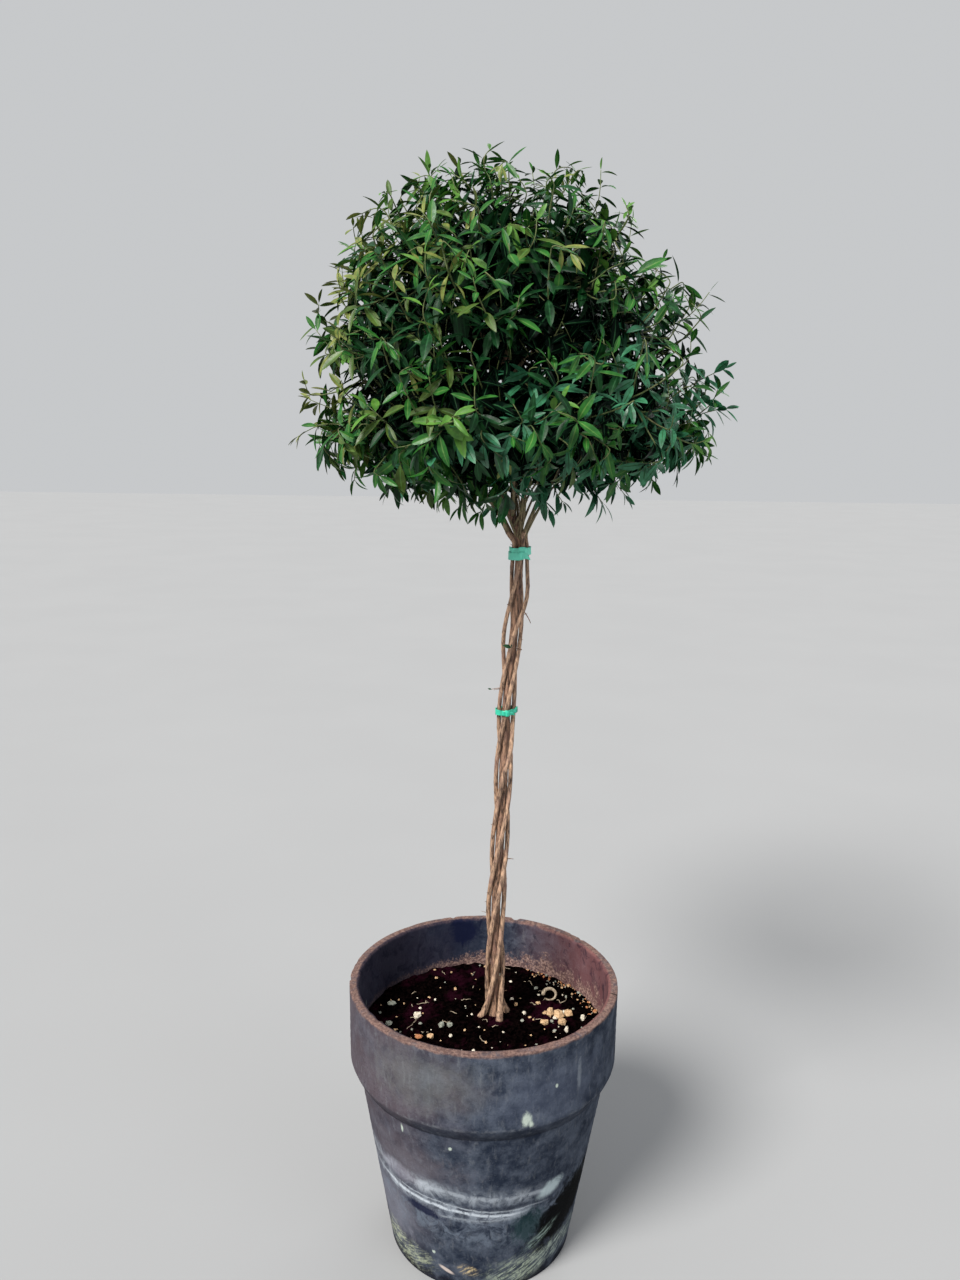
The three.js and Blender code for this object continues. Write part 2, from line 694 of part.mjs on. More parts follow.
const heart = heartSolid();
const targets = shootTargets();
const boughs = masses().map(boughOf);
let limbSpace = solidOf(stem(trunkCentre, (z) => mainRadius(z) + GAP, FORK_HEIGHT, MAIN_TIP_HEIGHT + GAP, 16, 8));
for (let i = 0; i < COMPANION_COUNT; i++) {
  const centreAt = (z) => companionCentre(i, z);
  limbSpace = limbSpace.add(solidOf(stem(centreAt, () => COMPANION_TIP_RADIUS + GAP, 415, COMPANION_TIP_HEIGHT, 4, 6)));
}
for (const bough of boughs) if (bough) limbSpace = limbSpace.add(solidOf(boughGeometry(bough, GAP)));

masses().forEach((mass, i) => {
  const bough = boughs[i];
  if (bough) addPart(mass.name.replace("foliage", "bough"), boughGeometry(bough, 0), COLOURS.bark);
  addPart(mass.name, geometryOf(massSolid(mass, bough, heart, limbSpace, targets)), COLOURS.foliage);
});

export default topiary;
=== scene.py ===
import math
from functools import partial

import bpy
import numpy as np
from mathutils import Matrix, Vector, noise


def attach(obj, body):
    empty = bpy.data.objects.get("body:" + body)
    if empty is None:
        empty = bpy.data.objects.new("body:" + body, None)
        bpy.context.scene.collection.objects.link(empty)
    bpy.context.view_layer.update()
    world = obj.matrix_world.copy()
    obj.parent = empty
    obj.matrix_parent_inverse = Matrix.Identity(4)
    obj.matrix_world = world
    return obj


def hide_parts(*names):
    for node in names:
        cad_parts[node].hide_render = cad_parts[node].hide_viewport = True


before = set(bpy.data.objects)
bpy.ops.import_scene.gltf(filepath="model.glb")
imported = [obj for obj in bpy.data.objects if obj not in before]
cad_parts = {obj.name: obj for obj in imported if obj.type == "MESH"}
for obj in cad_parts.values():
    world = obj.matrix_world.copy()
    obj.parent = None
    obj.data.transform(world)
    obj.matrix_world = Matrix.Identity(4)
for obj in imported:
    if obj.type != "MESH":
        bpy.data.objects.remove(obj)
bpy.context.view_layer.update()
scene = bpy.context.scene

# Sizes in this file are in millimetres. Meshes are made in metres.
MM = 0.001
UP = np.array((0.0, 0.0, 1.0))

# Camera: focal length over the picture's long side, place, pitch and roll
CAMERA_LENS = 28.125
CAMERA_PLACE = (-4.96, -551.3, 478.6)
CAMERA_PITCH = math.radians(10.96)
CAMERA_ROLL = math.radians(0.76)

# Light: the suns' names, places, angles, strengths and colours
LIGHT_AIM = (0.0, 0.0, 0.4)
SUNS = (
    ("key", (-1.3, -1.5, 2.3), 0.42, 4.0, (1.0, 0.98, 0.94)),
    ("fill", (3.2, -2.4, 1.8), 0.6, 0.48, (0.90, 0.95, 1.0)),
    ("rim", (1.6, 3.2, 2.8), 0.6, 0.55, (1.0, 1.0, 1.0)),
)
WORLD_COLOUR = (0.96, 0.98, 1.0, 1.0)
WORLD_STRENGTH = 0.42
EXPOSURE = 0.5
FLOOR_HALF = 9000

# Pot
POT_HEIGHT = 166.0
RIM_RADIUS = 80.0
LIP_WIDTH = 5.6
COLLAR_FOOT = 119.5
BODY_TOP = 111.5
BODY_TOP_RADIUS = 74.0
BODY_FOOT_RADIUS = 55.5
WALL = 7.0
FLOOR = 10.0
POT_SIDES = 240
POT_STEP = 2.6
# How far the corners of the pot's profile are rounded, from the foot up outside and down inside
POT_CORNERS = (0.5, 2.4, 3.6, 0.8, 1.9, 1.5, 2.0, 2.0)
CORNER_STEPS = 5
# The pot's unevenness: where it stays even, its swells and turning rings, the lip's worn band and middle
EVEN_RADIUS = 40.0
EVEN_HEIGHT = 1.2
SWELL = 0.22
TURNING_RING = 0.10
LIP_HEIGHTS = (161.0, 165.5)
LIP_MIDDLE = 76.5

# Paint on the pot. Heights of the painted shade in the fold under the collar and of the painted highlight
# along the collar's lower edge
COLLAR_FOLD = 111.4
COLLAR_EDGE = 120.6
# Lime lines: height, slope, thickness, angles from and to, strength of the line and of its haze
LIME = (0.44, 0.48, 0.53)
LIME_FADE = 9.0
LIME_LINES = (
    (69.5, 0.075, 3.0, -118, -22, 0.12, 0.45),
    (69.5, 0.075, 2.6, -34, 36, 0.45, 0.50),
    (58.2, 0.075, 2.4, -124, -44, 0.3, 0.40),
    (58.2, 0.075, 1.6, -56, 22, 0.9, 0.40),
    (61.0, 0.085, 0.8, -45, 30, 0.5, 0.2),
    (62.5, 0.05, 1.2, 80, 160, 0.6, 0.35),
    (54.0, -0.02, 1.0, -30, 20, 0.3, 0.30),
)
# Patches: the noise that frays them, angle in degrees, height, width, tallness, edge, roughness, lean,
# share and tint
FAINT_PATCHES = (
    ("smears", -24, 146, 22, 15, 0.7, 1.6, 0.0, 0.3, (0.15, 0.155, 0.145)),
    ("smears", 30, 138, 26, 16, 0.7, 1.6, 0.0, 0.3, (0.085, 0.1, 0.145)),
    ("smears", -35, 84, 22, 10, 0.7, 1.6, 0.0, 0.35, (0.13, 0.115, 0.13)),
)
PATCHES = (
    ("cloud", -46, 72, 11, 5, 0.5, 1.1, 0.0, 0.3, (0.3, 0.29, 0.35)),
    ("streaks", -31, 53, 11, 3, 0.35, 0.9, 0.5, 0.92, (0.006, 0.008, 0.026)),
    ("streaks", 16, 61.5, 12, 1.8, 0.5, 0.9, 0.0, 0.6, (0.014, 0.017, 0.028)),
    ("smears", 36, 67, 5.8, 4.2, 0.5, 1.5, -0.5, 0.85, (0.36, 0.43, 0.45)),
    ("smears", -58, 38, 18, 18, 0.6, 1.4, 0.0, 0.4, (0.21, 0.215, 0.26)),
    ("streaks", 26, 44, 9, 11, 0.5, 1.3, 0.0, 0.75, (0.007, 0.026, 0.027)),
    ("smears", 53, 44, 25, 19, 0.3, 1.1, -0.6, 0.99, (0.0004, 0.0006, 0.001)),
)
SCRATCHES = (
    ("streaks", 41, 143, 0.9, 8, 0.6, 1.6, 0.0, 0.3, (0.3, 0.33, 0.36)),
    ("cloud", -20, 12.5, 4.2, 1.4, 0.4, 0.5, 1.3, 0.8, (0.5, 0.42, 0.38)),
)
# Dark patches on the inner wall: angle, height, width and tallness
INNER_PATCHES = ((190, 158, 8, 10), (-170, 158, 7, 9))
# Algae near the foot: angle, height, width, tallness, lean and tint
ALGAE = (
    (-52, 13, 20, 9, 0.2, (0.34, 0.37, 0.26)),
    (24, 12, 20, 9, -0.3, (0.33, 0.38, 0.29)),
    (52, 16, 18, 8, -0.3, (0.30, 0.35, 0.31)),
    (34, 32, 9, 4, -1.4, (0.22, 0.29, 0.26)),
    (-7, 15, 5, 3.6, 0.2, (0.50, 0.39, 0.22)),
    (84, 44, 4, 24, 0.0, (0.26, 0.27, 0.32)),
    (132, 16, 24, 9, 0.1, (0.34, 0.38, 0.24)),
    (-120, 20, 22, 8, 0.2, (0.38, 0.40, 0.28)),
    (95, 12, 18, 6, 0.0, (0.38, 0.40, 0.30)),
)
# Splashes: angle, height, width and tallness
SPLASH = (0.42, 0.48, 0.42)
SPLASHES = (
    (17, 126, 1.7, 3.6), (19, 123, 1.0, 2.0), (-37.5, 107, 0.5, 2.4), (-14, 103.6, 0.8, 1.2),
    (29.7, 142, 0.5, 1.0), (-27, 23, 0.9, 1.1), (140, 130, 1.6, 2.6), (-150, 90, 1.2, 2.2),
    (-100, 140, 0.8, 1.8),
)

# Soil, with the radius and height of the bed's underside
SOIL_MIDDLE = 138.0
SOIL_EDGE = 134.5
SOIL_RADIUS = 72.4
SOIL_RINGS = 62
SOIL_SIDES = 190
SOIL_UNDERSIDE = (68.0, 112.0)
SOIL_LUMP = 1.5
SOIL_GRAIN = 0.8
SCATTER_RADIUS = 70.5
STEM_CLEARANCE = 6.0
CRUMB_COUNT = 950
FIBRE_COUNT = 46
FIBRE_STEPS = 6
HUSK_PLACE = (42, 27)
# Bits on the soil: colours from and to
GRIT = {
    "pale": ((0.46, 0.40, 0.31), (0.74, 0.68, 0.57)),
    "tan": ((0.34, 0.20, 0.10), (0.60, 0.42, 0.25)),
    "rust": ((0.30, 0.11, 0.045), (0.50, 0.22, 0.10)),
    "grey": ((0.16, 0.17, 0.14), (0.30, 0.31, 0.26)),
}
# Kind, count, smallest and largest size of the scattered ones
LOOSE_GRIT = (("pale", 40, 0.4, 1.1), ("tan", 60, 0.5, 1.5), ("grey", 34, 0.5, 1.5))
# Grit along the right edge: first angle and sweep in degrees, radius and width of its band
EDGE_GRIT_COUNT = 150
EDGE_GRIT_BAND = (-26, 92, 72.0, 7)
# Kind, place, size and flatness of the ones that stand out
PLACED_GRIT = (
    ("pale", -40, 4, 2.4, 1.0), ("tan", 41, 8, 3.6, 0.8), ("tan", 46, 5, 4.2, 0.8),
    ("tan", 52, 8, 3.4, 0.9), ("tan", 37, -3, 2.6, 0.5), ("tan", 48, 0, 2.4, 0.8),
    ("pale", 44, 3, 2.0, 0.8), ("pale", 50, 12, 1.9, 0.9), ("pale", 61, 5, 2.2, 0.9),
    ("pale", 50, -8, 2.0, 0.8), ("rust", -38, -18, 1.9, 0.6),
    ("tan", -31, -18, 2.0, 0.7), ("grey", -57, 19, 2.2, 0.6), ("grey", -57, -2, 2.4, 0.6),
    ("pale", -39, 13, 1.0, 0.8), ("pale", -30, 21, 0.9, 0.8), ("pale", 18, 47, 1.1, 0.8),
    ("pale", 18, 20, 1.6, 0.6), ("pale", 25, 7, 1.3, 0.8), ("grey", -25, -8, 1.9, 1.0),
    ("grey", -20, -8, 1.8, 1.0),
)

# Trunk, as in the solids
TRUNK_FOOT = SOIL_MIDDLE + 0.3
TRUNK_X = 6.5
TRUNK_Y = 7.0
TRUNK_LEAN = 10.5
FORK_HEIGHT = 425.0
# How far the trunk comes forward, waves, swings left over the fork and comes back
TRUNK_FORWARD = 3.0
TRUNK_WAVE = 0.5
TRUNK_SWING = 13.0
TRUNK_RETURN = 4.0
SWING_TOP = FORK_HEIGHT + 40
MAIN_TIP_HEIGHT = 556.0
MAIN_FOOT_RADIUS = 2.7
MAIN_FORK_RADIUS = 2.3
MAIN_TIP_RADIUS = 1.5
THIN_COUNT = 4
THIN_FOOT_RADIUS = 1.45
THIN_TIP_RADIUS = 1.05
THIN_TIP_HEIGHT = 433.0
# A thin stem's girth with its bark, in radii, its gap to the trunk, and how far it stands off at its ends
THIN_GIRTH = 1.06
THIN_GAP = 0.39
THIN_FOOT_SPREAD = 1.4
THIN_TIP_SPREAD = 3.5
THIN_SWING = 2.2
TWIST_PITCH = 165.0
TWIST_START = 0.35
ROOT_FLARE = 0.45
ROOT_FLARE_HEIGHT = 7.0
# Height, reach and size of the place where each thin stem stands off the trunk
THIN_LOOPS = ((392, 24, 3.4), (236, 30, 1.2), (301, 22, 2.6), (376, 30, 1.6))

# Bark: where the stems start in the soil, the rows' distance and the joints that swell a stem
STEM_START = TRUNK_FOOT - 1.5
BARK_STEP = 0.95
JOINT_COUNT = 26
JOINT_STEP = 17.5
STUB_COUNT = 46
# Sides and depth of the ridges, on the main stem, the thin stems and the boughs
MAIN_SIDES, THIN_SIDES, BOUGH_SIDES = 30, 20, 14
MAIN_RIDGE, THIN_RIDGE, BOUGH_RIDGE = 0.075, 0.09, 0.1

# Ties: node, height, width, tilt, where the winding starts, its turns, the end's length and its drop
TIES = (
    ("tie_upper", 422, 4.6, 0.03, 26, 1.42, 4.2, 2.6),
    ("tie_lower", 330, 3.2, 0.12, 52, 1.12, 4.5, 0.4),
)
TIE_POINTS = 72
TIE_CLEARANCE = 0.5
TIE_LIFT = 0.42
TIE_END_STEPS = 6
TIE_THICKNESS = 0.4
# The tape's section, in shares of its width and thickness
TIE_SECTION = (
    (-0.5, -0.5), (-0.5, 0.5), (-0.25, 0.62), (0.25, 0.55),
    (0.5, 0.5), (0.5, -0.5), (0.25, -0.5), (-0.25, -0.45),
)

# Slim twigs on the trunk: from, over, to and thickness. Small leaves there: place, way, facing, length
SPUR_TWIGS = (
    ((13.0, 4.5, 343.5), (8.0, 2.0, 344.5), (1.8, 1.0, 343.2), 0.34),
    ((18.5, 3.0, 366.0), (15.5, -1.5, 368.0), (12.5, -3.0, 368.4), 0.42),
    ((18.0, 5.0, 389.0), (21.5, 5.0, 386.0), (23.5, 4.5, 381.0), 0.4),
)
LONE_LEAVES = (
    ((12.8, -2.9, 368.2), (-0.9, -0.3, 0.35), (0.2, -1, 0.3), 5.4),
    ((12.9, -3.0, 368.5), (-0.1, -0.6, 0.5), (0.3, -1, 0.5), 3.2),
    ((2.1, 1.0, 343.2), (-0.8, -0.2, 0.2), (0.2, -1, 0.4), 2.4),
)

# Crown, as in the solids
CROWN_X = 13.0
CROWN_Y = 4.0
CROWN_WAIST = 492.0
CROWN_RADIUS = 114.0
CROWN_RISE = 136.0
CROWN_DROP = 54.0
CROWN_LEAN = 10.0
CROWN_LEAN_TOP = 580.0
DOME_POWER = 1.95
BOWL_POWER = 2.4
LOW_TOP = 526.0
HIGH_TOP = 576.0
# The thin stem that carries each low mass, or -1 for the main stem
LOW_SUPPORTS = (0, -1, 1, 2, -1, 3)
# Rings of masses: how many, turned by how much, and the heights from and to
RINGS = {
    "low": (len(LOW_SUPPORTS), math.pi / 6, CROWN_WAIST - CROWN_DROP - 12, LOW_TOP),
    "high": (4, 0, LOW_TOP, HIGH_TOP),
    "top": (1, 0, HIGH_TOP, CROWN_WAIST + CROWN_RISE + 12),
}
BOUGH_RADIUS = 1.1
BOUGH_TIP_RADIUS = 0.9
BOUGH_REACH = 20.0
MASS_REACH = {"low": 54.0, "high": 48.0}
FAN_SHIFT = 6.0
BOUGH_RISE = 22.0
LOW_BOUGH_HEIGHT = 441.0
HIGH_BOUGH_HEIGHT = 511.0
BOUGH_STAGGER = 5.0
GOLDEN_ANGLE = math.pi * (3 - math.sqrt(5))

# Finer growth than the solids have
BRANCH_COUNT = 118
SHOOT_COUNT = 740
# How far from its elbow a shoot leaves its branch
SHOOT_BACK = 28.0
# Twigs: thickness from and to, and sides
BRANCH_SIZE = (0.85, 0.5, 7)
SHOOT_SIZE = (0.44, 0.2, 5)
CORE_SIZE = (0.6, 0.3, 6)
FAN_SIZE = (0.75, 0.4, 7)
# How deep a shoot turns under the outline, at least, and by chance in addition
SPRIG_DEPTH = (0, -2)
DEEP_DEPTH = (20, 26)
OUTER_DEPTH = (4, 10)
SPRIG_SHARE = 0.13
DEEP_SHARE = 0.42
# How far beyond the outline a shoot's tip may end, at least and at most
SHOOT_REACH = (-15.0, -4.5)
SPRIG_REACH = (-5.0, -1.0)
# The share of the crown's drop that its leafy underside keeps
UNDERSIDE = 0.8
LEAF_STEP = 5.2
LEAF_REACH = 40.0
LEAF_LENGTH = 14.8
LEAF_WIDTH = 0.275
MISSING_LEAVES = 0.08
TIP_LEAVES = 0.75
# Youth of the leaves at a shoot's tip and behind it, with the negative value for the leaves inside a painted
# shade, and the steps of light between the colours
LEAF_YOUTH_AND_SHADE = (1.0, 0.0, -2.2)
LIGHT_STEPS = (0.02, 0.30, 0.52, 0.74, 0.95)
# Foot, height and half the width of the crown, for the leaves' colours, and where the small top leaves are
LIGHT_FOOT = 440.0
LIGHT_HEIGHT = 190.0
LIGHT_HALF_WIDTH = 115.0
TOP_HEIGHTS = (560.0, 625.0)
INNER_LEAVES = 17
# Twigs inside the crown and over the upper tie: count, lowest start and the band of heights over it
CORE_TWIGS, CORE_START, CORE_BAND = 64, 468, 40
FAN_TWIGS, FAN_START, FAN_BAND = 20, 427, 9
# The gap in front of the fork: its top, its angle, half its width and the share of shoots left out
FORK_GAP = (464.0, 14.0, 17.0, 0.65)
# Sprays that hang in front of the fork: x and z of their tips
LOW_SPRAYS = (
    (-24, 452), (-17, 446), (-11, 449), (-6, 444), (0, 447), (5, 443), (31, 446), (38, 450),
)
LOW_SPRAY_FRONT = -13.0
# Sprays that hang from the rim: x and z of their tips
RIM_SPRAYS = (
    (-93, 470), (-75, 453), (-64, 458), (-54, 450), (-40, 450), (-29, 445),
    (50, 449), (61, 443), (72, 448), (89, 455), (101, 460), (113, 469), (121, 473),
)
# Single sprigs that reach past the outline, as in the solids: x and z of their tips
SPRIGS = (
    (-112, 481), (-110, 503), (-101, 540), (-89, 568), (-75, 593), (20, 631), (56, 625),
    (97, 585), (119, 563), (136, 524), (133, 500), (128, 474), (-60, 606), (78, 604),
)
SPRIG_SIDESTEP = 14.0
# A leaf's blade: rows along it, each with its share of the width
LEAF_ROWS = ((0.07, 0.12), (0.24, 0.70), (0.45, 1.0), (0.66, 0.92), (0.86, 0.54))
# Leaf colours from and to, gloss, and whether the midrib is dark, a painted shade. The kinds stand in for
# light and shade: inner and shade are near-black painted shade inside the crown, and the others are picked by
# steps of painted light, the paler ones for the lit top and left
LEAF_COLOURS = {
    "inner": ((0.0005, 0.0026, 0.0014), (0.0012, 0.0065, 0.0034), 0.03, True),
    "shade": ((0.0006, 0.003, 0.0018), (0.0014, 0.0075, 0.004), 0.03, True),
    "cool": ((0.0085, 0.058, 0.026), (0.034, 0.165, 0.079), 0.3, True),
    "deep": ((0.0012, 0.0165, 0.0042), (0.0046, 0.045, 0.0095), 0.2, True),
    "mid": ((0.0072, 0.056, 0.007), (0.02, 0.115, 0.015), 0.24, False),
    "moss": ((0.025, 0.051, 0.007), (0.062, 0.106, 0.017), 0.24, False),
    "fresh": ((0.036, 0.115, 0.015), (0.085, 0.205, 0.03), 0.24, False),
    "olive": ((0.095, 0.13, 0.026), (0.19, 0.205, 0.056), 0.24, False),
    "bronze": ((0.068, 0.098, 0.017), (0.17, 0.184, 0.046), 0.24, False),
}
SEED = 41
CROWN_SEED = 61


def smooth(value, start, end):
    t = min(1.0, max(0.0, (value - start) / (end - start)))
    return t * t * (3 - 2 * t)


def lerp(a, b, t):
    return a + (b - a) * t


def remap(value, a, b, c, d):
    return c + (d - c) * (value - a) / (b - a)


def unit(v):
    return v / max(1e-9, np.linalg.norm(v))


def vec(x, y, z):
    return np.array((x, y, z), dtype=float)


def around(angle, radius=1.0, z=0.0):
    """A point round the upright axis."""
    return vec(radius * math.cos(angle), radius * math.sin(angle), z)


def bumps(x, y, z, scale, octaves=3):
    """Smooth noise round 0 at a place in millimetres, with its grain about scale wide."""
    return noise.fractal(Vector((x / scale, y / scale, z / scale)), 0.9, 2.1, octaves)


# Meshes


def mesh_piece(name, vertices, faces, materials, slot, face_materials=None, smooth_faces=True):
    mesh = bpy.data.meshes.new(name)
    mesh.from_pydata((np.asarray(vertices, dtype=float) * MM).tolist(), [], faces)
    for material in materials:
        mesh.materials.append(material)
    if face_materials is not None:
        mesh.polygons.foreach_set("material_index", np.asarray(face_materials, dtype=np.int32))
    mesh.polygons.foreach_set("use_smooth", np.full(len(mesh.polygons), smooth_faces))
    mesh.validate()
    piece = bpy.data.objects.new(name, mesh)
    scene.collection.objects.link(piece)
    if slot:
        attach(piece, "root")
    return piece


class Heap:
    """Vertices and faces of many small bodies, gathered for one mesh."""

    def __init__(self):
        self.vertices, self.faces, self.count = [], [], 0

    def add(self, vertices, faces):
        self.vertices.append(np.asarray(vertices, dtype=float))
        self.faces.extend([tuple(i + self.count for i in face) for face in faces])
        self.count += len(vertices)

    def piece(self, name, material, slot, smooth_faces=True):
        vertices = np.concatenate(self.vertices)
        return mesh_piece(name, vertices, self.faces, [material], slot, None, smooth_faces)


def ring_faces(rows, sides):
    """Faces of a body whose points lie in rows, each once round it, with a lid on both ends."""
    faces = []
    for i in range(0, (rows - 1) * sides, sides):
        for k in range(sides):
            n = (k + 1) % sides
            faces.append((i + k, i + n, i + sides + n, i + sides + k))
    last = (rows - 1) * sides
    return faces + [tuple(range(sides - 1, -1, -1)), tuple(range(last, last + sides))]


def directions(line):
    along = np.gradient(line, axis=0)
    return along / np.linalg.norm(along, axis=1)[:, None]


def tube(centres, radii, sides, relief=None):
    """A closed tube round a line of centres. relief(i, angle) scales the radius."""
    centres = np.asarray(centres, dtype=float)
    along = directions(centres)
    across = vec(1, 0, 0) if abs(along[0][0]) < 0.9 else vec(0, 1, 0)
    angles = np.arange(sides) * math.tau / sides
    rings = []
    for i, centre in enumerate(centres):
        across = unit(across - along[i] * across.dot(along[i]))
        other = np.cross(along[i], across)
        scale = np.array([relief(i, a) for a in angles]) if relief else np.ones(sides)
        spread = np.outer(np.cos(angles) * scale, across) + np.outer(np.sin(angles) * scale, other)
        rings.append(centre + spread * radii[i])
    return np.concatenate(rings), ring_faces(len(centres), sides)


def twig(line, thick, thin, sides):
    """A tube along a line that tapers evenly."""
    return tube(line, np.linspace(thick, thin, len(line)), sides)


def bezier(a, b, c, steps):
    t = np.linspace(0, 1, steps + 1)[:, None]
    return (1 - t) ** 2 * a + 2 * t * (1 - t) * b + t**2 * c


def crooked(rng, a, b, share, jitter, steps, lift=0):
    """A line from a to b that bends at a share of its length, lifted there and moved by chance."""
    return bezier(a, lerp(a, b, share) + lift + rng.normal(0, jitter, 3), b, steps)


def lathe(profile, sides, wobble):
    """A closed turned body. wobble(angle, r, z) gives the point's new r and z."""
    vertices = []
    for r, z in profile:
        for k in range(sides):
            angle = math.tau * k / sides
            r_new, z_new = wobble(angle, r, z)
            vertices.append((r_new * math.sin(angle), -r_new * math.cos(angle), z_new))
    return vertices, ring_faces(len(profile), sides)


def pebble(centre, size, rng, flat):
    """A small rough lump: a squashed ball of a few faces."""
    rows, sides = 4, 6
    turn = rng.random() * 6.28
    stretch = 0.7 + 0.6 * rng.random(3)
    vertices = []
    for i in range(rows + 1):
        lat = math.pi * i / rows
        for k in range(sides):
            rough = 0.78 + 0.4 * rng.random()
            ball = around(turn + math.tau * k / sides, math.sin(lat), -math.cos(lat) * flat)
            vertices.append(centre + ball * stretch * rough * size)
    return vertices, ring_faces(rows + 1, sides)


# Materials


class Value:
    """A shader value that can be added to and multiplied like a number."""

    def __init__(self, nodes, socket):
        self.nodes, self.socket = nodes, socket

    def __add__(self, other):
        return self.nodes.math("ADD", self, other)

    def __sub__(self, number):
        return self + -number

    def __mul__(self, other):
        return self.nodes.math("MULTIPLY", self, other)

    def __abs__(self):
        return self.nodes.math("ABSOLUTE", self)

    def ramp(self, low, high, out_low=0.0, out_high=1.0):
        """Goes smoothly from the one output to the other as the value goes from low to high."""
        inputs = dict(enumerate((self, low, high, out_low, out_high)))
        return self.nodes.output("MapRange", inputs, interpolation_type="SMOOTHSTEP")


class Nodes:
    """The shader nodes of one material."""

    def __init__(self, name, specular):
        self.material = bpy.data.materials.new(name)
        self.material.use_nodes = True
        self.tree = self.material.node_tree
        self.shader = self.tree.nodes["Principled BSDF"]
        self.feed(self.shader, {"Specular IOR Level": specular})
        self.place = self.output("TexCoord", {}, "Object")

    def feed(self, node, inputs):
        """Sets a node's inputs, and links those that come from another node."""
        for key, value in inputs.items():
            socket = node.inputs[key]
            if isinstance(value, Value):
                self.tree.links.new(value.socket, socket)
            else:
                socket.default_value = (*value, 1.0) if socket.type == "RGBA" else value

    def make(self, kind, inputs, **settings):
        node = self.tree.nodes.new("ShaderNode" + kind)
        for key, value in settings.items():
            setattr(node, key, value)
        self.feed(node, inputs)
        return node

    def output(self, kind, inputs, which=0, **settings):
        return Value(self, self.make(kind, inputs, **settings).outputs[which])

    def math(self, operation, a, b=0.0):
        return self.output("Math", {0: a, 1: b}, operation=operation)

    def mix(self, share, a, b):
        return self.output("Mix", {0: share, 6: a, 7: b}, 2, data_type="RGBA")

    def paint(self, colour, layers):
        """Lays tints over a colour, each by its mask and its share."""
        for mask, share, tint in layers:
            colour = self.mix(mask * share, colour, tint)
        return colour

    def noise(self, size, detail=4.0, rough=0.6, stretch=(1, 1, 1), warp=0.0, tilt=0.0):
        """Noise from 0 to 1 with its grain about size millimetres wide, tilted in the front view."""
        place = self.place
        if tilt:
            place = self.output("VectorRotate", {"Vector": place, "Angle": tilt}, rotation_type="Y_AXIS")
        if stretch != (1, 1, 1):
            place = self.output("VectorMath", {0: place, 1: stretch}, operation="MULTIPLY")
        inputs = {"Vector": place, "Scale": 1 / (size * MM), "Detail": detail}
        return self.output("TexNoise", {**inputs, "Roughness": rough, "Distortion": warp}, "Fac")

    def axes(self):
        return [Value(self, socket) for socket in self.make("SeparateXYZ", {0: self.place}).outputs]

    def bump(self, height, depth, strength):
        inputs = {"Distance": depth * MM, "Strength": strength, "Height": height}
        self.feed(self.shader, {"Normal": self.output("Bump", inputs)})

    def finish(self, colour, roughness):
        self.feed(self.shader, {"Base Color": colour, "Roughness": roughness})
        return self.material


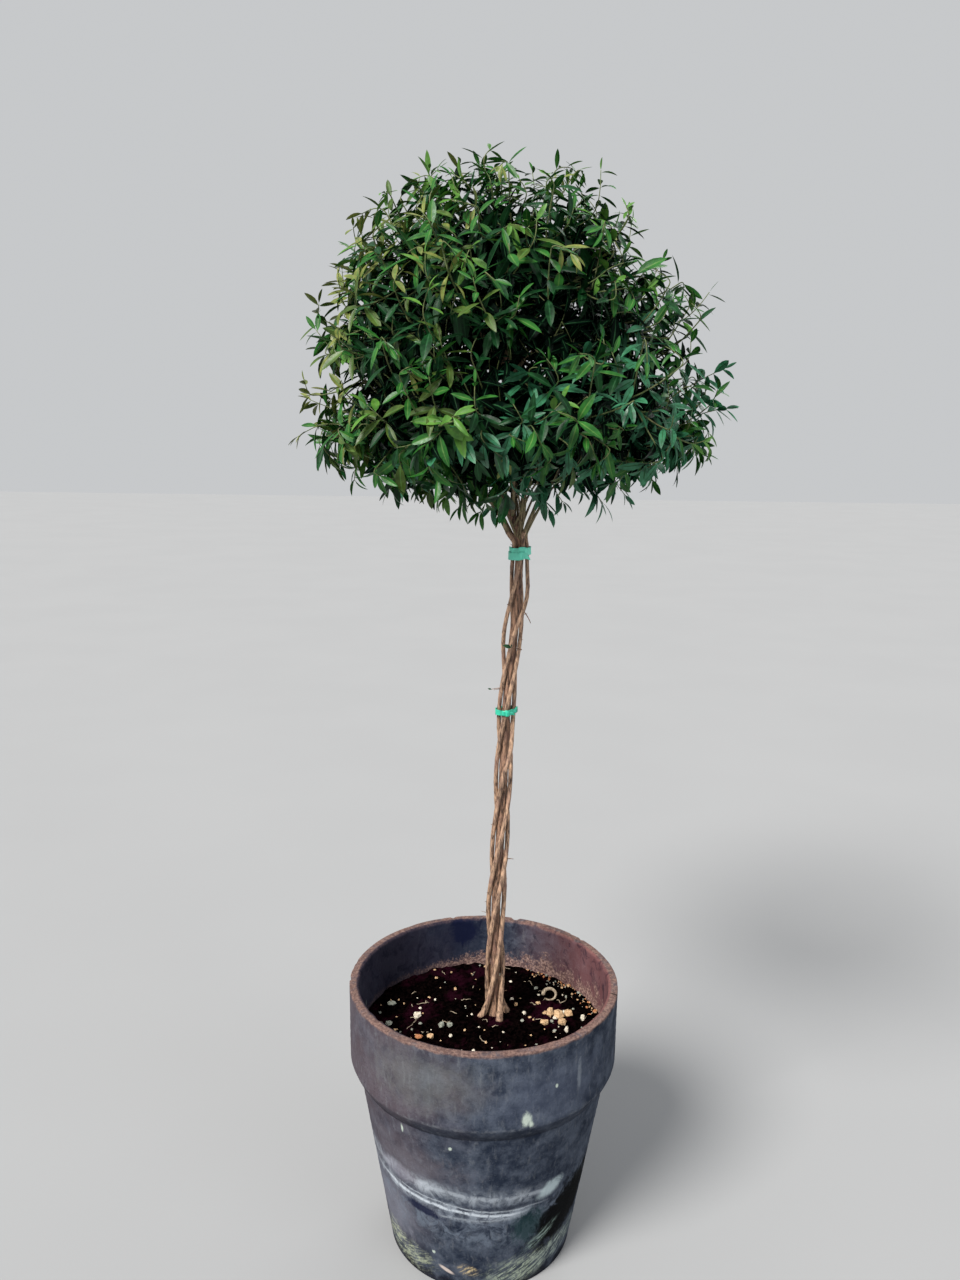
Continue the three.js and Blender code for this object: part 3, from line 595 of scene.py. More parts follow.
class Clay(Nodes):
    """The pot's clay with its stains and some painted light and shade: layers of paint, each a mask, a share
    and a tint.
    """

    def __init__(self):
        super().__init__("fired_clay", 0.05)
        self.x, self.y, z = self.axes()
        self.height = z * 1000.0
        self.angle = self.math("ARCTAN2", self.x, self.y * -1.0) * (180 / math.pi)
        self.radius = self.math("SQRT", self.x * self.x + self.y * self.y) * 1000.0
        self.cloud = self.noise(11, 5, 0.65)
        self.uneven = self.cloud - 0.5
        self.grain = self.noise(1.5, 3, 0.7)
        self.broad = self.noise(34, 3)
        self.strokes = self.noise(2.6, 4, 0.65, (1, 1, 0.28))
        self.smears = self.noise(9, 5, 0.72, (1, 1, 0.8), 0.8)
        self.streaks = self.noise(3.4, 4, 0.7, (1, 1, 0.5), 1.2)
        self.outside = self.radius.ramp(50, 54)

    def spot(self, ragged, angle, level, wide, tall, edge, rough, lean=0.0):
        """A patch round an angle in degrees and a height in millimetres, frayed by a noise."""
        across = (self.angle - angle) * (1 / wide)
        up = (self.height - level) * (1 / tall)
        if lean:
            up = up + across * lean
        reach = self.math("SQRT", across * across + up * up)
        return (reach + (ragged - 0.5) * (1.6 * rough)).ramp(1 - edge, 1 + edge, 1.0, 0.0)

    def patches(self, rows):
        layers = []
        for ragged, *where, share, tint in rows:
            layers.append((self.spot(getattr(self, ragged), *where), share, tint))
        return layers

    def tide(self, level, slope, thick, start, end, crisp, haze):
        """A lime line round the body with a haze on both sides, ragged, between two angles."""
        line = (self.height - level) + self.angle * slope
        line = abs(line + (self.broad - 0.5) * 5.0 + self.uneven * 2.6)
        core = line.ramp(thick * 0.2, thick, crisp, 0.0) * self.streaks.ramp(0.28, 0.52)
        soft = line.ramp(0.0, thick * 3.0, haze, 0.0) * self.smears.ramp(0.34, 0.66)
        ends = self.angle.ramp(start - LIME_FADE, start + LIME_FADE)
        ends = ends * self.angle.ramp(end - LIME_FADE, end + LIME_FADE, 1.0, 0.0)
        return self.math("MAXIMUM", core, soft) * ends

    def body(self):
        # painted warm light: a paler, warmer mauve over the upper left, the side the key light falls on
        painted_warm_light = self.x * -10.5 + (self.broad * 1.3 + self.height * 0.0012)
        return [
            (painted_warm_light.ramp(0.8, 1.6) * self.height.ramp(70, 125, 0.5, 1.0), 0.66, (0.094, 0.07, 0.078)),
            (self.strokes.ramp(0.52, 0.74), 0.3, (0.155, 0.165, 0.18)),
            (self.grain.ramp(0.58, 0.75), 0.25, (0.19, 0.2, 0.21)),
            (self.grain.ramp(0.44, 0.28), 0.5, (0.012, 0.015, 0.024)),
        ] + self.patches(FAINT_PATCHES)

    def collar(self):
        """Painted shade on its underside, a painted highlight along its lower edge and painted shade in the
        dark fold where it meets the body.
        """
        # painted shade on the collar's sloping underside
        under = self.height.ramp(111.0, 112.5) * self.height.ramp(COLLAR_EDGE, 118.6)
        # a painted highlight along the collar's lower edge, broken up by a noise
        edge = abs(self.height - COLLAR_EDGE).ramp(1.6, 0.2) * self.smears.ramp(0.46, 0.62)
        # painted shade in the fold where the collar meets the body
        fold = abs((self.height - COLLAR_FOLD) + self.uneven * 0.9)
        fold = fold.ramp(1.5, 0.2) * self.smears.ramp(0.38, 0.58, 0.2, 1.0)
        return [
            (under * self.outside, 0.35, (0.016, 0.019, 0.03)),
            (edge, 0.3, (0.2, 0.21, 0.23)),
            (fold * self.outside, 0.5, (0.007, 0.008, 0.014)),
        ]

    def lime(self):
        haze = self.height.ramp(72, 58) * self.height.ramp(22, 46)
        return [
            (haze * self.smears.ramp(0.44, 0.62), 0.6, (0.125, 0.15, 0.19)),
            (haze * self.smears.ramp(0.42, 0.32), 0.6, (0.012, 0.015, 0.026)),
        ] + [(self.tide(*line) * self.outside, 1.0, LIME) for line in LIME_LINES]

    def stains(self):
        """Damp patches, the dark foot, algae near it, splashes and scratches."""
        foot = (self.height + self.uneven * 16).ramp(8, 1) * self.outside
        layers = self.patches(PATCHES) + [(foot, 0.8, (0.006, 0.006, 0.01))]
        brushed = self.noise(1.5, 4, 0.7, (0.16, 0.2, 1.0), 0.5, math.radians(32))
        algae = brushed.ramp(0.42, 0.6, 0.05, 1.0) * self.streaks.ramp(0.34, 0.54, 0.25, 1.0)
        for *where, lean, tint in ALGAE:
            mask = self.spot(self.smears, *where, 0.5, 1.2, lean)
            layers.append((mask * algae * self.outside, 0.8, tint))
        layers += [(self.spot(self.streaks, *where, 0.5, 1.3), 0.85, SPLASH) for where in SPLASHES]
        return layers + self.patches(SCRATCHES)

    def lip(self):
        """The worn lip, where paler, redder clay shows through, and a crack."""
        worn = (self.height + self.uneven * 4.0).ramp(163.9, 165.6) * self.smears.ramp(0.26, 0.56, 0.25, 1.0)
        clay = self.mix(self.grain.ramp(0.4, 0.62), (0.105, 0.062, 0.053), (0.205, 0.128, 0.105))
        crack = abs((self.angle - 77.0) + self.uneven * 3.0).ramp(0.7, 0.2) * self.height.ramp(146, 156)
        return [(worn, 0.92, clay), (crack, 0.85, (0.012, 0.01, 0.01))]

    def inside(self):
        """The inner wall: browner on the right, darker on the left as painted shade, with a grainy mineral
        crust over the soil.
        """
        x, inner = self.x, self.radius.ramp(76.5, 75.2) * self.height.ramp(131, 134)
        rise = self.math("DIVIDE", self.height - 135.5, (x + self.y * 0.25).ramp(-0.03, 0.07, 4.0, 19.0))
        crust = self.noise(1.9, 5, 0.85) + (self.cloud * 1.1 + rise * -0.42)
        crust = crust.ramp(0.8, 1.05) * inner * self.height.ramp(164, 158)
        pale = self.mix(self.grain.ramp(0.45, 0.6), (0.105, 0.06, 0.054), (0.34, 0.22, 0.18))
        layers = [
            (inner * x.ramp(0.01, 0.075), 0.75, (0.15, 0.06, 0.06)),
            # painted shade: the inner wall darker on the left
            (inner * x.ramp(0.03, -0.02), 0.75, (0.007, 0.0095, 0.024)),
            (inner * self.smears.ramp(0.5, 0.36), 0.6, (0.0055, 0.006, 0.015)),
            (crust * x.ramp(-0.06, -0.005, 0.15, 1.0), 0.8, pale),
        ]
        for where in INNER_PATCHES:
            layers.append((self.spot(self.smears, *where, 0.3, 1.4) * inner, 0.9, (0.004, 0.006, 0.022)))
        return layers

    def painted(self):
        relief = self.grain * 0.6 + (self.cloud * 0.8 + self.strokes * 0.6)
        groove = abs(self.height - COLLAR_FOLD).ramp(1.1, 0.2)
        self.bump(relief + groove * -0.6, 0.5, 0.8)
        colour = self.mix(self.cloud.ramp(0.3, 0.72), (0.011, 0.016, 0.029), (0.064, 0.076, 0.102))
        layers = self.body() + self.collar() + self.lime() + self.stains() + self.lip() + self.inside()
        return self.finish(self.paint(colour, layers), self.cloud.ramp(0.1, 0.9, 0.72, 0.96))


def bark_material(name, dark, light, tint, green=0.0):
    n = Nodes(name, 0.3)
    fibre = n.noise(1.1, 5, 0.7, (1, 1, 0.16), 0.4)
    patch = n.noise(9, 3)
    speck = n.noise(0.5, 2, 0.6)
    layers = [(patch.ramp(0.45, 0.7), 0.6, tint), (speck.ramp(0.6, 0.72), 0.35, (0.42, 0.34, 0.25))]
    if green:
        layers.append((patch.ramp(0.5, 0.3), green, (0.12, 0.17, 0.06)))
    n.bump(fibre + speck * 0.4, 0.35, 0.9)
    colour = n.mix(fibre.ramp(0.34, 0.66), dark, light)
    return n.finish(n.paint(colour, layers), fibre.ramp(0.2, 0.8, 0.62, 0.88))


def leaf_material(name, deep, fresh, roughness=0.38, gloss=0.25):
    n = Nodes(name, gloss)
    fine = n.noise(1.3, 3, 0.6)
    colour = n.mix(n.noise(7, 2).ramp(0.3, 0.7), deep, fresh)
    paler = tuple(min(1, c * 1.5 + 0.01) for c in fresh)
    n.bump(fine, 0.12, 0.6)
    colour = n.paint(colour, [(fine.ramp(0.5, 0.7), 0.25, paler)])
    return n.finish(colour, fine.ramp(0.3, 0.7, roughness - 0.06, roughness + 0.12))


def soil_material():
    n = Nodes("potting_soil", 0.0)
    crumb = n.noise(2.2, 5, 0.75)
    colour = n.mix(crumb.ramp(0.4, 0.68), (0.0003, 0.0002, 0.0003), (0.0048, 0.0024, 0.0023))
    colour = n.paint(colour, [(n.noise(16, 3).ramp(0.5, 0.7), 0.55, (0.0200, 0.0030, 0.0085))])
    n.bump(crumb + n.noise(0.7, 2), 0.8, 1.0)
    return n.finish(colour, crumb.ramp(0.3, 0.7, 0.8, 1.0))


def grit_material(name, low, high):
    n = Nodes(name, 0.3)
    fine = n.noise(0.8, 4, 0.7)
    pits = n.output("TexVoronoi", {"Vector": n.place, "Scale": 1 / (0.7 * MM)}, "Distance")
    n.bump(fine + pits * -0.6, 0.3, 0.9)
    return n.finish(n.mix(fine.ramp(0.35, 0.65), low, high), fine.ramp(0.3, 0.7, 0.73, 0.95))


def tape_material():
    n = Nodes("tie_tape", 0.5)
    stretch = n.noise(1.4, 4, 0.6, (1, 1, 0.2), 0.5)
    # painted light: the upper tie is painted brighter where the crown shades it
    upper_tie_painted_light = n.axes()[2].ramp(0.38, 0.40) * stretch.ramp(0.2, 0.8, 0.55, 0.95)
    colour = n.mix(stretch.ramp(0.3, 0.7), (0.008, 0.27, 0.17), (0.03, 0.47, 0.31))
    layers = [(n.noise(4, 2).ramp(0.5, 0.75), 0.4, (0.10, 0.60, 0.44)), (upper_tie_painted_light, 1.0, (0.16, 0.74, 0.54))]
    n.bump(stretch, 0.25, 0.8)
    return n.finish(n.paint(colour, layers), stretch.ramp(0.3, 0.7, 0.26, 0.45))


def floor_material():
    n = Nodes("studio_floor", 0.0)
    return n.finish(n.mix(n.noise(300, 2).ramp(0.3, 0.7), (0.297, 0.300, 0.306), (0.303, 0.306, 0.312)), 0.9)


# Pot


def rounded(points, radii):
    """An open profile with its corners rounded, each by its own radius."""
    points = [np.array(p, dtype=float) for p in points]
    line = [points[0]]
    for before, corner, after, radius in zip(points, points[1:], points[2:], radii):
        reach = min(radius, 0.45 * np.linalg.norm(before - corner), 0.45 * np.linalg.norm(after - corner))
        start = corner + unit(before - corner) * reach
        end = corner + unit(after - corner) * reach
        line.extend(bezier(start, corner, end, CORNER_STEPS))
    line.append(points[-1])
    return line


def densify(points, step):
    line = [points[0]]
    for a, b in zip(points, points[1:]):
        count = max(1, int(np.linalg.norm(b - a) / step))
        line.extend(a + (b - a) * (i + 1) / count for i in range(count))
    return line


def pot_wobble(angle, r, z):
    """The hand-made unevenness of the pot: swells, turning rings, a worn and chipped lip."""
    x, y = r * math.sin(angle), -r * math.cos(angle)
    if r < EVEN_RADIUS or z < EVEN_HEIGHT:
        return r, z
    swell = SWELL * bumps(x, y, z * 0.6, 26, 2)
    rings = TURNING_RING * math.sin(z * 1.1 + 1.5 * bumps(x, y, z, 40, 2)) * smooth(z, 8, 20)
    lip = smooth(z, *LIP_HEIGHTS)
    wear = max(0.0, bumps(x, y, z, 5.5, 3) - 0.12) * 0.8 * lip
    chips = min(1.2, max(0.0, bumps(x + 50, y, z, 8, 2) - 0.4) * 4.0) * lip
    out = 1 if r > LIP_MIDDLE else -1
    r_new = r + swell + rings - out * (wear + chips) * 0.5
    return min(r_new, RIM_RADIUS + 0.1), min(z - wear * 0.4 - chips, POT_HEIGHT)


def pot_piece(clay):
    inside = RIM_RADIUS - LIP_WIDTH
    profile = [
        (0.01, 0.0), (BODY_FOOT_RADIUS, 0.0), (BODY_TOP_RADIUS, BODY_TOP), (RIM_RADIUS - 0.4, COLLAR_FOOT),
        (RIM_RADIUS, POT_HEIGHT), (inside, POT_HEIGHT), (inside - 1.8, COLLAR_FOOT),
        (BODY_TOP_RADIUS - WALL, BODY_TOP), (BODY_FOOT_RADIUS - WALL, FLOOR), (0.01, FLOOR),
    ]
    line = densify(rounded(profile, POT_CORNERS), POT_STEP)
    vertices, faces = lathe(line, POT_SIDES, pot_wobble)
    piece = mesh_piece("clay_pot", vertices, faces, [clay], "clay")
    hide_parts("pot")


# Soil


def soil_level(x, y):
    r = math.hypot(x, y)
    base = lerp(SOIL_MIDDLE, SOIL_EDGE, smooth(r, 15, 72))
    lumps = SOIL_LUMP * bumps(x, y, 0, 9, 3) + SOIL_GRAIN * bumps(x, y, 5, 3.2, 2)
    return base + lumps * smooth(r, 8, 20) - 0.3


def soil_piece(soil):
    """The bed: a middle point, rings out to the edge, one more ring under it and a flat underside."""
    low_radius, low = SOIL_UNDERSIDE
    vertices = [(0.0, 0.0, soil_level(0, 0))]
    for i in range(1, SOIL_RINGS + 2):
        under = i > SOIL_RINGS
        for k in range(SOIL_SIDES):
            reach = low_radius if under else SOIL_RADIUS * i / SOIL_RINGS
            x, y, _ = around(math.tau * k / SOIL_SIDES, reach)
            vertices.append((x, y, low if under else soil_level(x, y)))
    faces = [(0, 1 + k, 1 + (k + 1) % SOIL_SIDES) for k in range(SOIL_SIDES)]
    for a in range(1, 1 + SOIL_RINGS * SOIL_SIDES, SOIL_SIDES):
        b = a + SOIL_SIDES
        for k in range(SOIL_SIDES):
            n = (k + 1) % SOIL_SIDES
            faces.append((a + k, b + k, b + n, a + n))
    faces.append(tuple(range(len(vertices) - 1, len(vertices) - 1 - SOIL_SIDES, -1)))
    bed = mesh_piece("soil_bed", vertices, faces, [soil], "soil")
    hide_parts("soil")


def scatter(rng, count):
    """Places on the soil, clear of the stems' feet."""
    spots = []
    while len(spots) < count:
        r = SCATTER_RADIUS * math.sqrt(rng.random())
        x, y, _ = around(rng.random() * math.tau, r)
        if math.hypot(x - TRUNK_X, y - TRUNK_Y) > STEM_CLEARANCE:
            spots.append((x, y))
    return spots


def drop_pebble(heap, rng, x, y, size, flat, lift):
    """A pebble on the soil, lifted by a share of its size."""
    heap.add(*pebble(vec(x, y, soil_level(x, y) + size * lift), size, rng, flat))


def crumb_pieces(soil):
    rng = np.random.default_rng(SEED + 1)
    crumbs = Heap()
    for x, y in scatter(rng, CRUMB_COUNT):
        drop_pebble(crumbs, rng, x, y, 0.5 + 1.6 * rng.random() ** 2.2, 0.8, 0.25)
    crumbs.piece("soil_crumbs", soil, "soil", False)
    heaps = {name: Heap() for name in GRIT}
    for name, x, y, size, flat in PLACED_GRIT:
        drop_pebble(heaps[name], rng, x, y, size, flat, 0.5)
    for name, count, small, large in LOOSE_GRIT:
        for x, y in scatter(rng, count):
            drop_pebble(heaps[name], rng, x, y, small + (large - small) * rng.random() ** 2.2, 0.7, 0.3)
    first, sweep, radius, width = EDGE_GRIT_BAND
    for _ in range(EDGE_GRIT_COUNT):
        angle = math.radians(first + sweep * rng.random())
        x, y, _ = around(angle, radius - width * rng.random() ** 1.8)
        size = 0.35 + 0.8 * rng.random() ** 2
        name = ("tan", "rust", "grey")[rng.integers(3)]
        drop_pebble(heaps[name], rng, x, y, size, 0.8, 0.5)
    for name, (low, high) in GRIT.items():
        heaps[name].piece(f"soil_{name}_bits", grit_material(f"{name}_grit", low, high), "soil", False)


def fibre_piece():
    """Dry root hairs, curls and one small ring-shaped husk on the soil."""
    rng = np.random.default_rng(SEED + 2)
    heap = Heap()
    for x, y in scatter(rng, FIBRE_COUNT):
        turn = rng.random() * math.tau
        length = 2.5 + 6.5 * rng.random()
        bend = (rng.random() - 0.5) * 2.6
        points = []
        for i in range(FIBRE_STEPS + 1):
            t = i / FIBRE_STEPS
            px, py, _ = vec(x, y, 0) + around(turn + bend * t, length * t)
            if math.hypot(px, py) > SCATTER_RADIUS + 0.5:
                break
            points.append((px, py, soil_level(px, py) + 0.35 + 1.1 * math.sin(math.pi * t) * rng.random()))
        if len(points) > 3:
            heap.add(*twig(points, 0.28, 0.14, 5))
    x, y = HUSK_PLACE
    rest = soil_level(x, y) + 3.4
    turns = np.linspace(-2.2, 3.3, 20)
    husk = [(x + 4.0 * math.cos(a), y + 1.6 * math.sin(a), rest + 3.0 * math.sin(a)) for a in turns]
    heap.add(*twig(husk, 0.5, 1.3, 8))
    pale = grit_material("dry_fibre", (0.16, 0.12, 0.085), (0.40, 0.33, 0.24))
    heap.piece("soil_fibres", pale, "soil")


# Trunk


def trunk_centre(z):
    share = min(1.0, (z - TRUNK_FOOT) / (FORK_HEIGHT - TRUNK_FOOT))
    swing = TRUNK_SWING * smooth(z, FORK_HEIGHT, SWING_TOP)
    swing -= TRUNK_RETURN * smooth(z, SWING_TOP, MAIN_TIP_HEIGHT)
    wave = TRUNK_WAVE * math.sin(z / 19) * smooth(z, TRUNK_FOOT, TRUNK_FOOT + 40)
    return vec(TRUNK_X + TRUNK_LEAN * share**2 - swing + wave, TRUNK_Y - TRUNK_FORWARD * share, z)


def root_flare(z):
    return 1 + ROOT_FLARE * math.exp(-(z - TRUNK_FOOT) / ROOT_FLARE_HEIGHT)


def main_radius(z):
    low = remap(z, TRUNK_FOOT, FORK_HEIGHT, MAIN_FOOT_RADIUS, MAIN_FORK_RADIUS)
    high = remap(z, FORK_HEIGHT, MAIN_TIP_HEIGHT, MAIN_FORK_RADIUS, MAIN_TIP_RADIUS)
    return (low if z < FORK_HEIGHT else high) * root_flare(z)


def thin_radius(z):
    taper = remap(z, TRUNK_FOOT, THIN_TIP_HEIGHT, THIN_FOOT_RADIUS, THIN_TIP_RADIUS)
    return taper * root_flare(z)


def thin_centre(index, z):
    middle, reach, size = THIN_LOOPS[index]
    loose = THIN_FOOT_SPREAD * math.exp(-(z - TRUNK_FOOT) / ROOT_FLARE_HEIGHT)
    loose += THIN_TIP_SPREAD * smooth(z, FORK_HEIGHT + 1, THIN_TIP_HEIGHT + 2)
    loose += size * math.exp(-(((z - middle) / reach) ** 2) * 2)
    angle = TWIST_START + math.tau * index / THIN_COUNT
    angle += math.tau * (z - FORK_HEIGHT) / TWIST_PITCH
    distance = main_radius(z) + thin_radius(z) * THIN_GIRTH + THIN_GAP + loose
    centre = trunk_centre(min(z, FORK_HEIGHT))
    centre[2] = z
    centre[0] -= THIN_SWING * smooth(z, FORK_HEIGHT, THIN_TIP_HEIGHT)
    return centre + around(angle, distance)


def bark_relief(heights, seed, depth):
    """Long ridges that wind slowly round a stem, with swollen joints and small dents."""
    starts = [TRUNK_FOOT + 9 + JOINT_STEP * k for k in range(JOINT_COUNT)]
    joints = [start + 7 * math.sin(k * 2.3 + seed) for k, start in enumerate(starts)]

    def relief(i, angle):
        z = heights[i]
        turn = angle + z / 60 + seed
        ridge = 0.5 * math.sin(turn * 5 + 2.2 * bumps(seed, 0, z, 16, 2))
        ridge += 0.6 * bumps(3 * math.cos(turn), 3 * math.sin(turn) + seed * 7, z * 0.22, 1.4, 3)
        near = min(abs(z - joint) for joint in joints)
        knot = 1.4 * math.exp(-((near / 1.5) ** 2)) * (0.5 + 0.5 * math.cos(angle - seed * 3 - z))
        return 1 + depth * (ridge + knot)

    return relief


def add_stem(heap, centre_at, radius_at, tip, sides, seed, depth):
    heights = np.linspace(STEM_START, tip, int((tip - STEM_START) / BARK_STEP))
    centres = [centre_at(z) for z in heights]
    radii = [radius_at(z) for z in heights]
    heap.add(*tube(centres, radii, sides, bark_relief(heights, seed, depth)))


def column_centre():
    return trunk_centre(MAIN_TIP_HEIGHT - 50)


class Mass:
    """One mass of the crown: a wedge of the low or high ring, or the top."""

    def __init__(self, kind, index):
        self.kind, self.index = kind, index
        self.name = "foliage_top" if kind == "top" else f"foliage_{kind}_{index + 1}"
        count, turn, self.floor, self.ceiling = RINGS[kind]
        self.middle = turn + math.tau * index / count
        self.half = math.pi / count
        self.out = around(self.middle)

    def centre(self):
        if self.kind == "top":
            return crown_centre(HIGH_TOP + 12)
        point = column_centre() + self.out * MASS_REACH[self.kind]
        point[2] = (max(self.floor, CROWN_WAIST - CROWN_DROP + 28) + self.ceiling) / 2
        return point

    def holds(self, point):
        x, y = (point - column_centre())[:2]
        off = math.atan2(y, x) - self.middle
        beside = abs(math.atan2(math.sin(off), math.cos(off)))
        return beside <= self.half and self.floor <= point[2] < self.ceiling

    def bough(self):
        """Points of the limb that carries the mass, or None where the main stem's tip does."""
        if self.kind == "top":
            return None
        support = LOW_SUPPORTS[self.index] if self.kind == "low" else -1
        if support < 0:
            height = HIGH_BOUGH_HEIGHT + BOUGH_STAGGER * self.index
            if self.kind == "low":
                height = LOW_BOUGH_HEIGHT
            start = trunk_centre(height) + self.out * (main_radius(height) * 0.4)
        else:
            height = THIN_TIP_HEIGHT
            start = thin_centre(support, height - 1.5)
        end = column_centre() + self.out * BOUGH_REACH
        end[2] = height + BOUGH_RISE
        if self.kind == "low":
            end[0] += FAN_SHIFT
        bend = lerp(start, end, 0.45)
        bend[2] += 0.2 * BOUGH_RISE
        return bezier(start, bend, end, 26)


def masses():
    return [Mass(kind, i) for kind, ring in RINGS.items() for i in range(ring[0])]


def limb_pieces(bark, thin_bark, young):
    heap = Heap()
    add_stem(heap, trunk_centre, main_radius, MAIN_TIP_HEIGHT, MAIN_SIDES, 0.4, MAIN_RIDGE)
    main = heap.piece("main_stem_bark", bark, "bark")
    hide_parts("main_stem")
    heap = Heap()
    for i in range(THIN_COUNT):
        centre_at = partial(thin_centre, i)
        seed = 1.7 + i * 2.1
        add_stem(heap, centre_at, thin_radius, THIN_TIP_HEIGHT, THIN_SIDES, seed, THIN_RIDGE)
    thin = heap.piece("thin_stems_bark", thin_bark, "bark")
    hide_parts(*[f"thin_stem_{i + 1}" for i in range(THIN_COUNT)])
    heap = Heap()
    names = []
    for k, mass in enumerate(masses()):
        points = mass.bough()
        if points is not None:
            names.append(mass.name.replace("foliage", "bough"))
            radii = np.linspace(BOUGH_RADIUS, BOUGH_TIP_RADIUS, len(points))
            relief = bark_relief(points[:, 2], 0.9 + k, BOUGH_RIDGE)
            heap.add(*tube(points, radii, BOUGH_SIDES, relief))
    boughs = heap.piece("boughs_bark", young, "bark")
    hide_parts(*names)


def stub_pieces(bark, leaf):
    """Short dry spurs, hairs and slim twigs on the stems, and a few small dark leaves."""
    rng = np.random.default_rng(SEED + 3)
    heap = Heap()
    for k in range(STUB_COUNT):
        z = TRUNK_FOOT + 8 + (THIN_TIP_HEIGHT - TRUNK_FOOT - 14) * rng.random()
        which = k % (THIN_COUNT + 1)
        if which < THIN_COUNT:
            centre, radius = thin_centre(which, z), thin_radius(z)
            away = centre - trunk_centre(z)
            angle = math.atan2(away[1], away[0])
        else:
            centre, radius = trunk_centre(z), main_radius(z)
            angle = rng.random() * math.tau
        out = around(angle + 1.6 * (rng.random() - 0.5))
        length = 0.8 + 3.4 * rng.random() ** 2.4
        start = centre + out * radius * 0.8
        end = centre + out * (radius + length) + UP * ((rng.random() - 0.3) * length)
        line = crooked(rng, start, end, 0.5, 0.25, 4)
        thick = 0.16 + 0.3 * rng.random() ** 2
        heap.add(*twig(line, thick, thick * 0.4, 6))
    for *points, thick in SPUR_TWIGS:
        heap.add(*twig(bezier(*np.array(points), 10), thick, thick * 0.45, 6))
    heap.piece("stem_spurs", bark, "bark")
    lone = Leaves("trunk_leaves", leaf, leaf)
    for base, way, face, length in LONE_LEAVES:
        way, face = unit(vec(*way)), vec(*face)
        face = unit(face - way * face.dot(way))
        lone.add(base, way, face, length, length * 0.42, 0.25, 0.15)
    lone.piece()


# Ties


def bundle_outline(height, width):
    """The convex outline round all the stems over a band of heights, a little clear of them."""
    circles = []
    for z in np.linspace(height - width / 2 - 1, height + width / 2 + 1, 5):
        circles.append((trunk_centre(z), main_radius(z)))
        circles += [(thin_centre(i, z), thin_radius(z) * THIN_GIRTH) for i in range(THIN_COUNT)]
    outline = []
    for k in range(TIE_POINTS):
        out = around(math.tau * k / TIE_POINTS)[:2]
        centre, radius = max(circles, key=lambda c: c[0][:2].dot(out) + c[1])
        outline.append(centre[:2] + out * (radius + TIE_CLEARANCE))
    return np.array(outline)


def ribbon(line, ups, width):
    """A flat tape along a line, with the tape's width along ups."""
    along = directions(line)
    vertices = []
    for i, p in enumerate(line):
        up = unit(ups[i] - along[i] * ups[i].dot(along[i]))
        out = np.cross(along[i], up)
        vertices += [p + up * u * width[i] + out * v * TIE_THICKNESS for u, v in TIE_SECTION]
    return vertices, ring_faces(len(line), len(TIE_SECTION))


def tie_piece(tape, node, height, width, tilt, start, turns, tail, drop):
    """A tape wound round the stems, its end standing off as a short tail."""
    inner = bundle_outline(height, width)
    middle = inner.mean(axis=0)
    line, ups, widths = [], [], []
    for i in range(int(TIE_POINTS * turns) + 1):
        k = (i + start) % TIE_POINTS
        lap = i / TIE_POINTS
        lift = TIE_LIFT * max(0.0, lap - 0.85) / 0.15 if lap < 1 else TIE_LIFT
        x, y = inner[k] + unit(inner[k] - middle) * (0.25 + lift)
        z = height + tilt * (x - middle[0]) - drop * smooth(lap, 0.8, 1.1)
        line.append(vec(x, y, z + 0.3 * math.sin(k * 0.35 + height)))
        ups.append(vec(0.05 * math.sin(k * 0.5), 0, 1))
        widths.append(width * (1 - 0.12 * math.sin(k * 0.21 + 1) ** 2))
    heading = unit(line[-1] - line[-3])
    for j in range(1, TIE_END_STEPS + 1):
        line.append(line[-1] + (heading * tail / TIE_END_STEPS + UP * (-0.12 * j)))
        ups.append(vec(0.15 * j, 0, 1))
        widths.append(width * (1 - j / (1.1 * TIE_END_STEPS)))
    vertices, faces = ribbon(line, ups, widths)
    piece = mesh_piece(f"{node}_tape", vertices, faces, [tape], "tape")
    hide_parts(node)


# Crown


def crown_centre(z):
    return vec(CROWN_X - CROWN_LEAN * smooth(z, CROWN_WAIST, CROWN_LEAN_TOP), CROWN_Y, z)


def crown_radius(z):
    up = z >= CROWN_WAIST
    share = (z - CROWN_WAIST) / CROWN_RISE if up else (CROWN_WAIST - z) / CROWN_DROP
    power = DOME_POWER if up else BOWL_POWER
    return 0.0 if share >= 1 else CROWN_RADIUS * (1 - share**power) ** (1 / power)


def kept_in(point, grow):
    """The point, drawn in to the crown's outline grown by some millimetres where it lies outside."""
    middle = crown_centre(point[2])
    up = point[2] >= CROWN_WAIST
    flat = math.hypot(point[0] - middle[0], point[1] - middle[1]) / (CROWN_RADIUS + grow)
    rise = abs(point[2] - CROWN_WAIST) / ((CROWN_RISE if up else CROWN_DROP * UNDERSIDE) + grow)
    power = DOME_POWER if up else BOWL_POWER
    share = (flat**power + rise**power) ** (1 / power)
    middle[2] = CROWN_WAIST
    return point if share <= 1 else middle + (point - middle) / share


def outline_targets(count):
    """Points spread evenly over the crown's outline, each with the way out there, as in the solids."""
    rows = []
    for t in np.linspace(-0.99, 0.995, 401):
        z = CROWN_WAIST + t * (CROWN_RISE if t >= 0 else CROWN_DROP)
        radius, area = crown_radius(z), 0.0
        if rows:
            area, last_z, last_radius = rows[-1]
            area += (radius + last_radius) * math.hypot(radius - last_radius, z - last_z)
        rows.append((area, z, radius))
    areas = [row[0] for row in rows]
    targets = []
    for i in range(count):
        _, z, radius = rows[int(np.searchsorted(areas, areas[-1] * (i + 0.5) / count))]
        angle = i * GOLDEN_ANGLE
        point = crown_centre(z) + around(angle, radius)
        slope = (crown_radius(z - 1) - crown_radius(z + 1)) / 2
        if z < CROWN_WAIST:
            point[2] = CROWN_WAIST - (CROWN_WAIST - z) * UNDERSIDE
        targets.append((point, unit(around(angle, 1.0, slope))))
    return targets


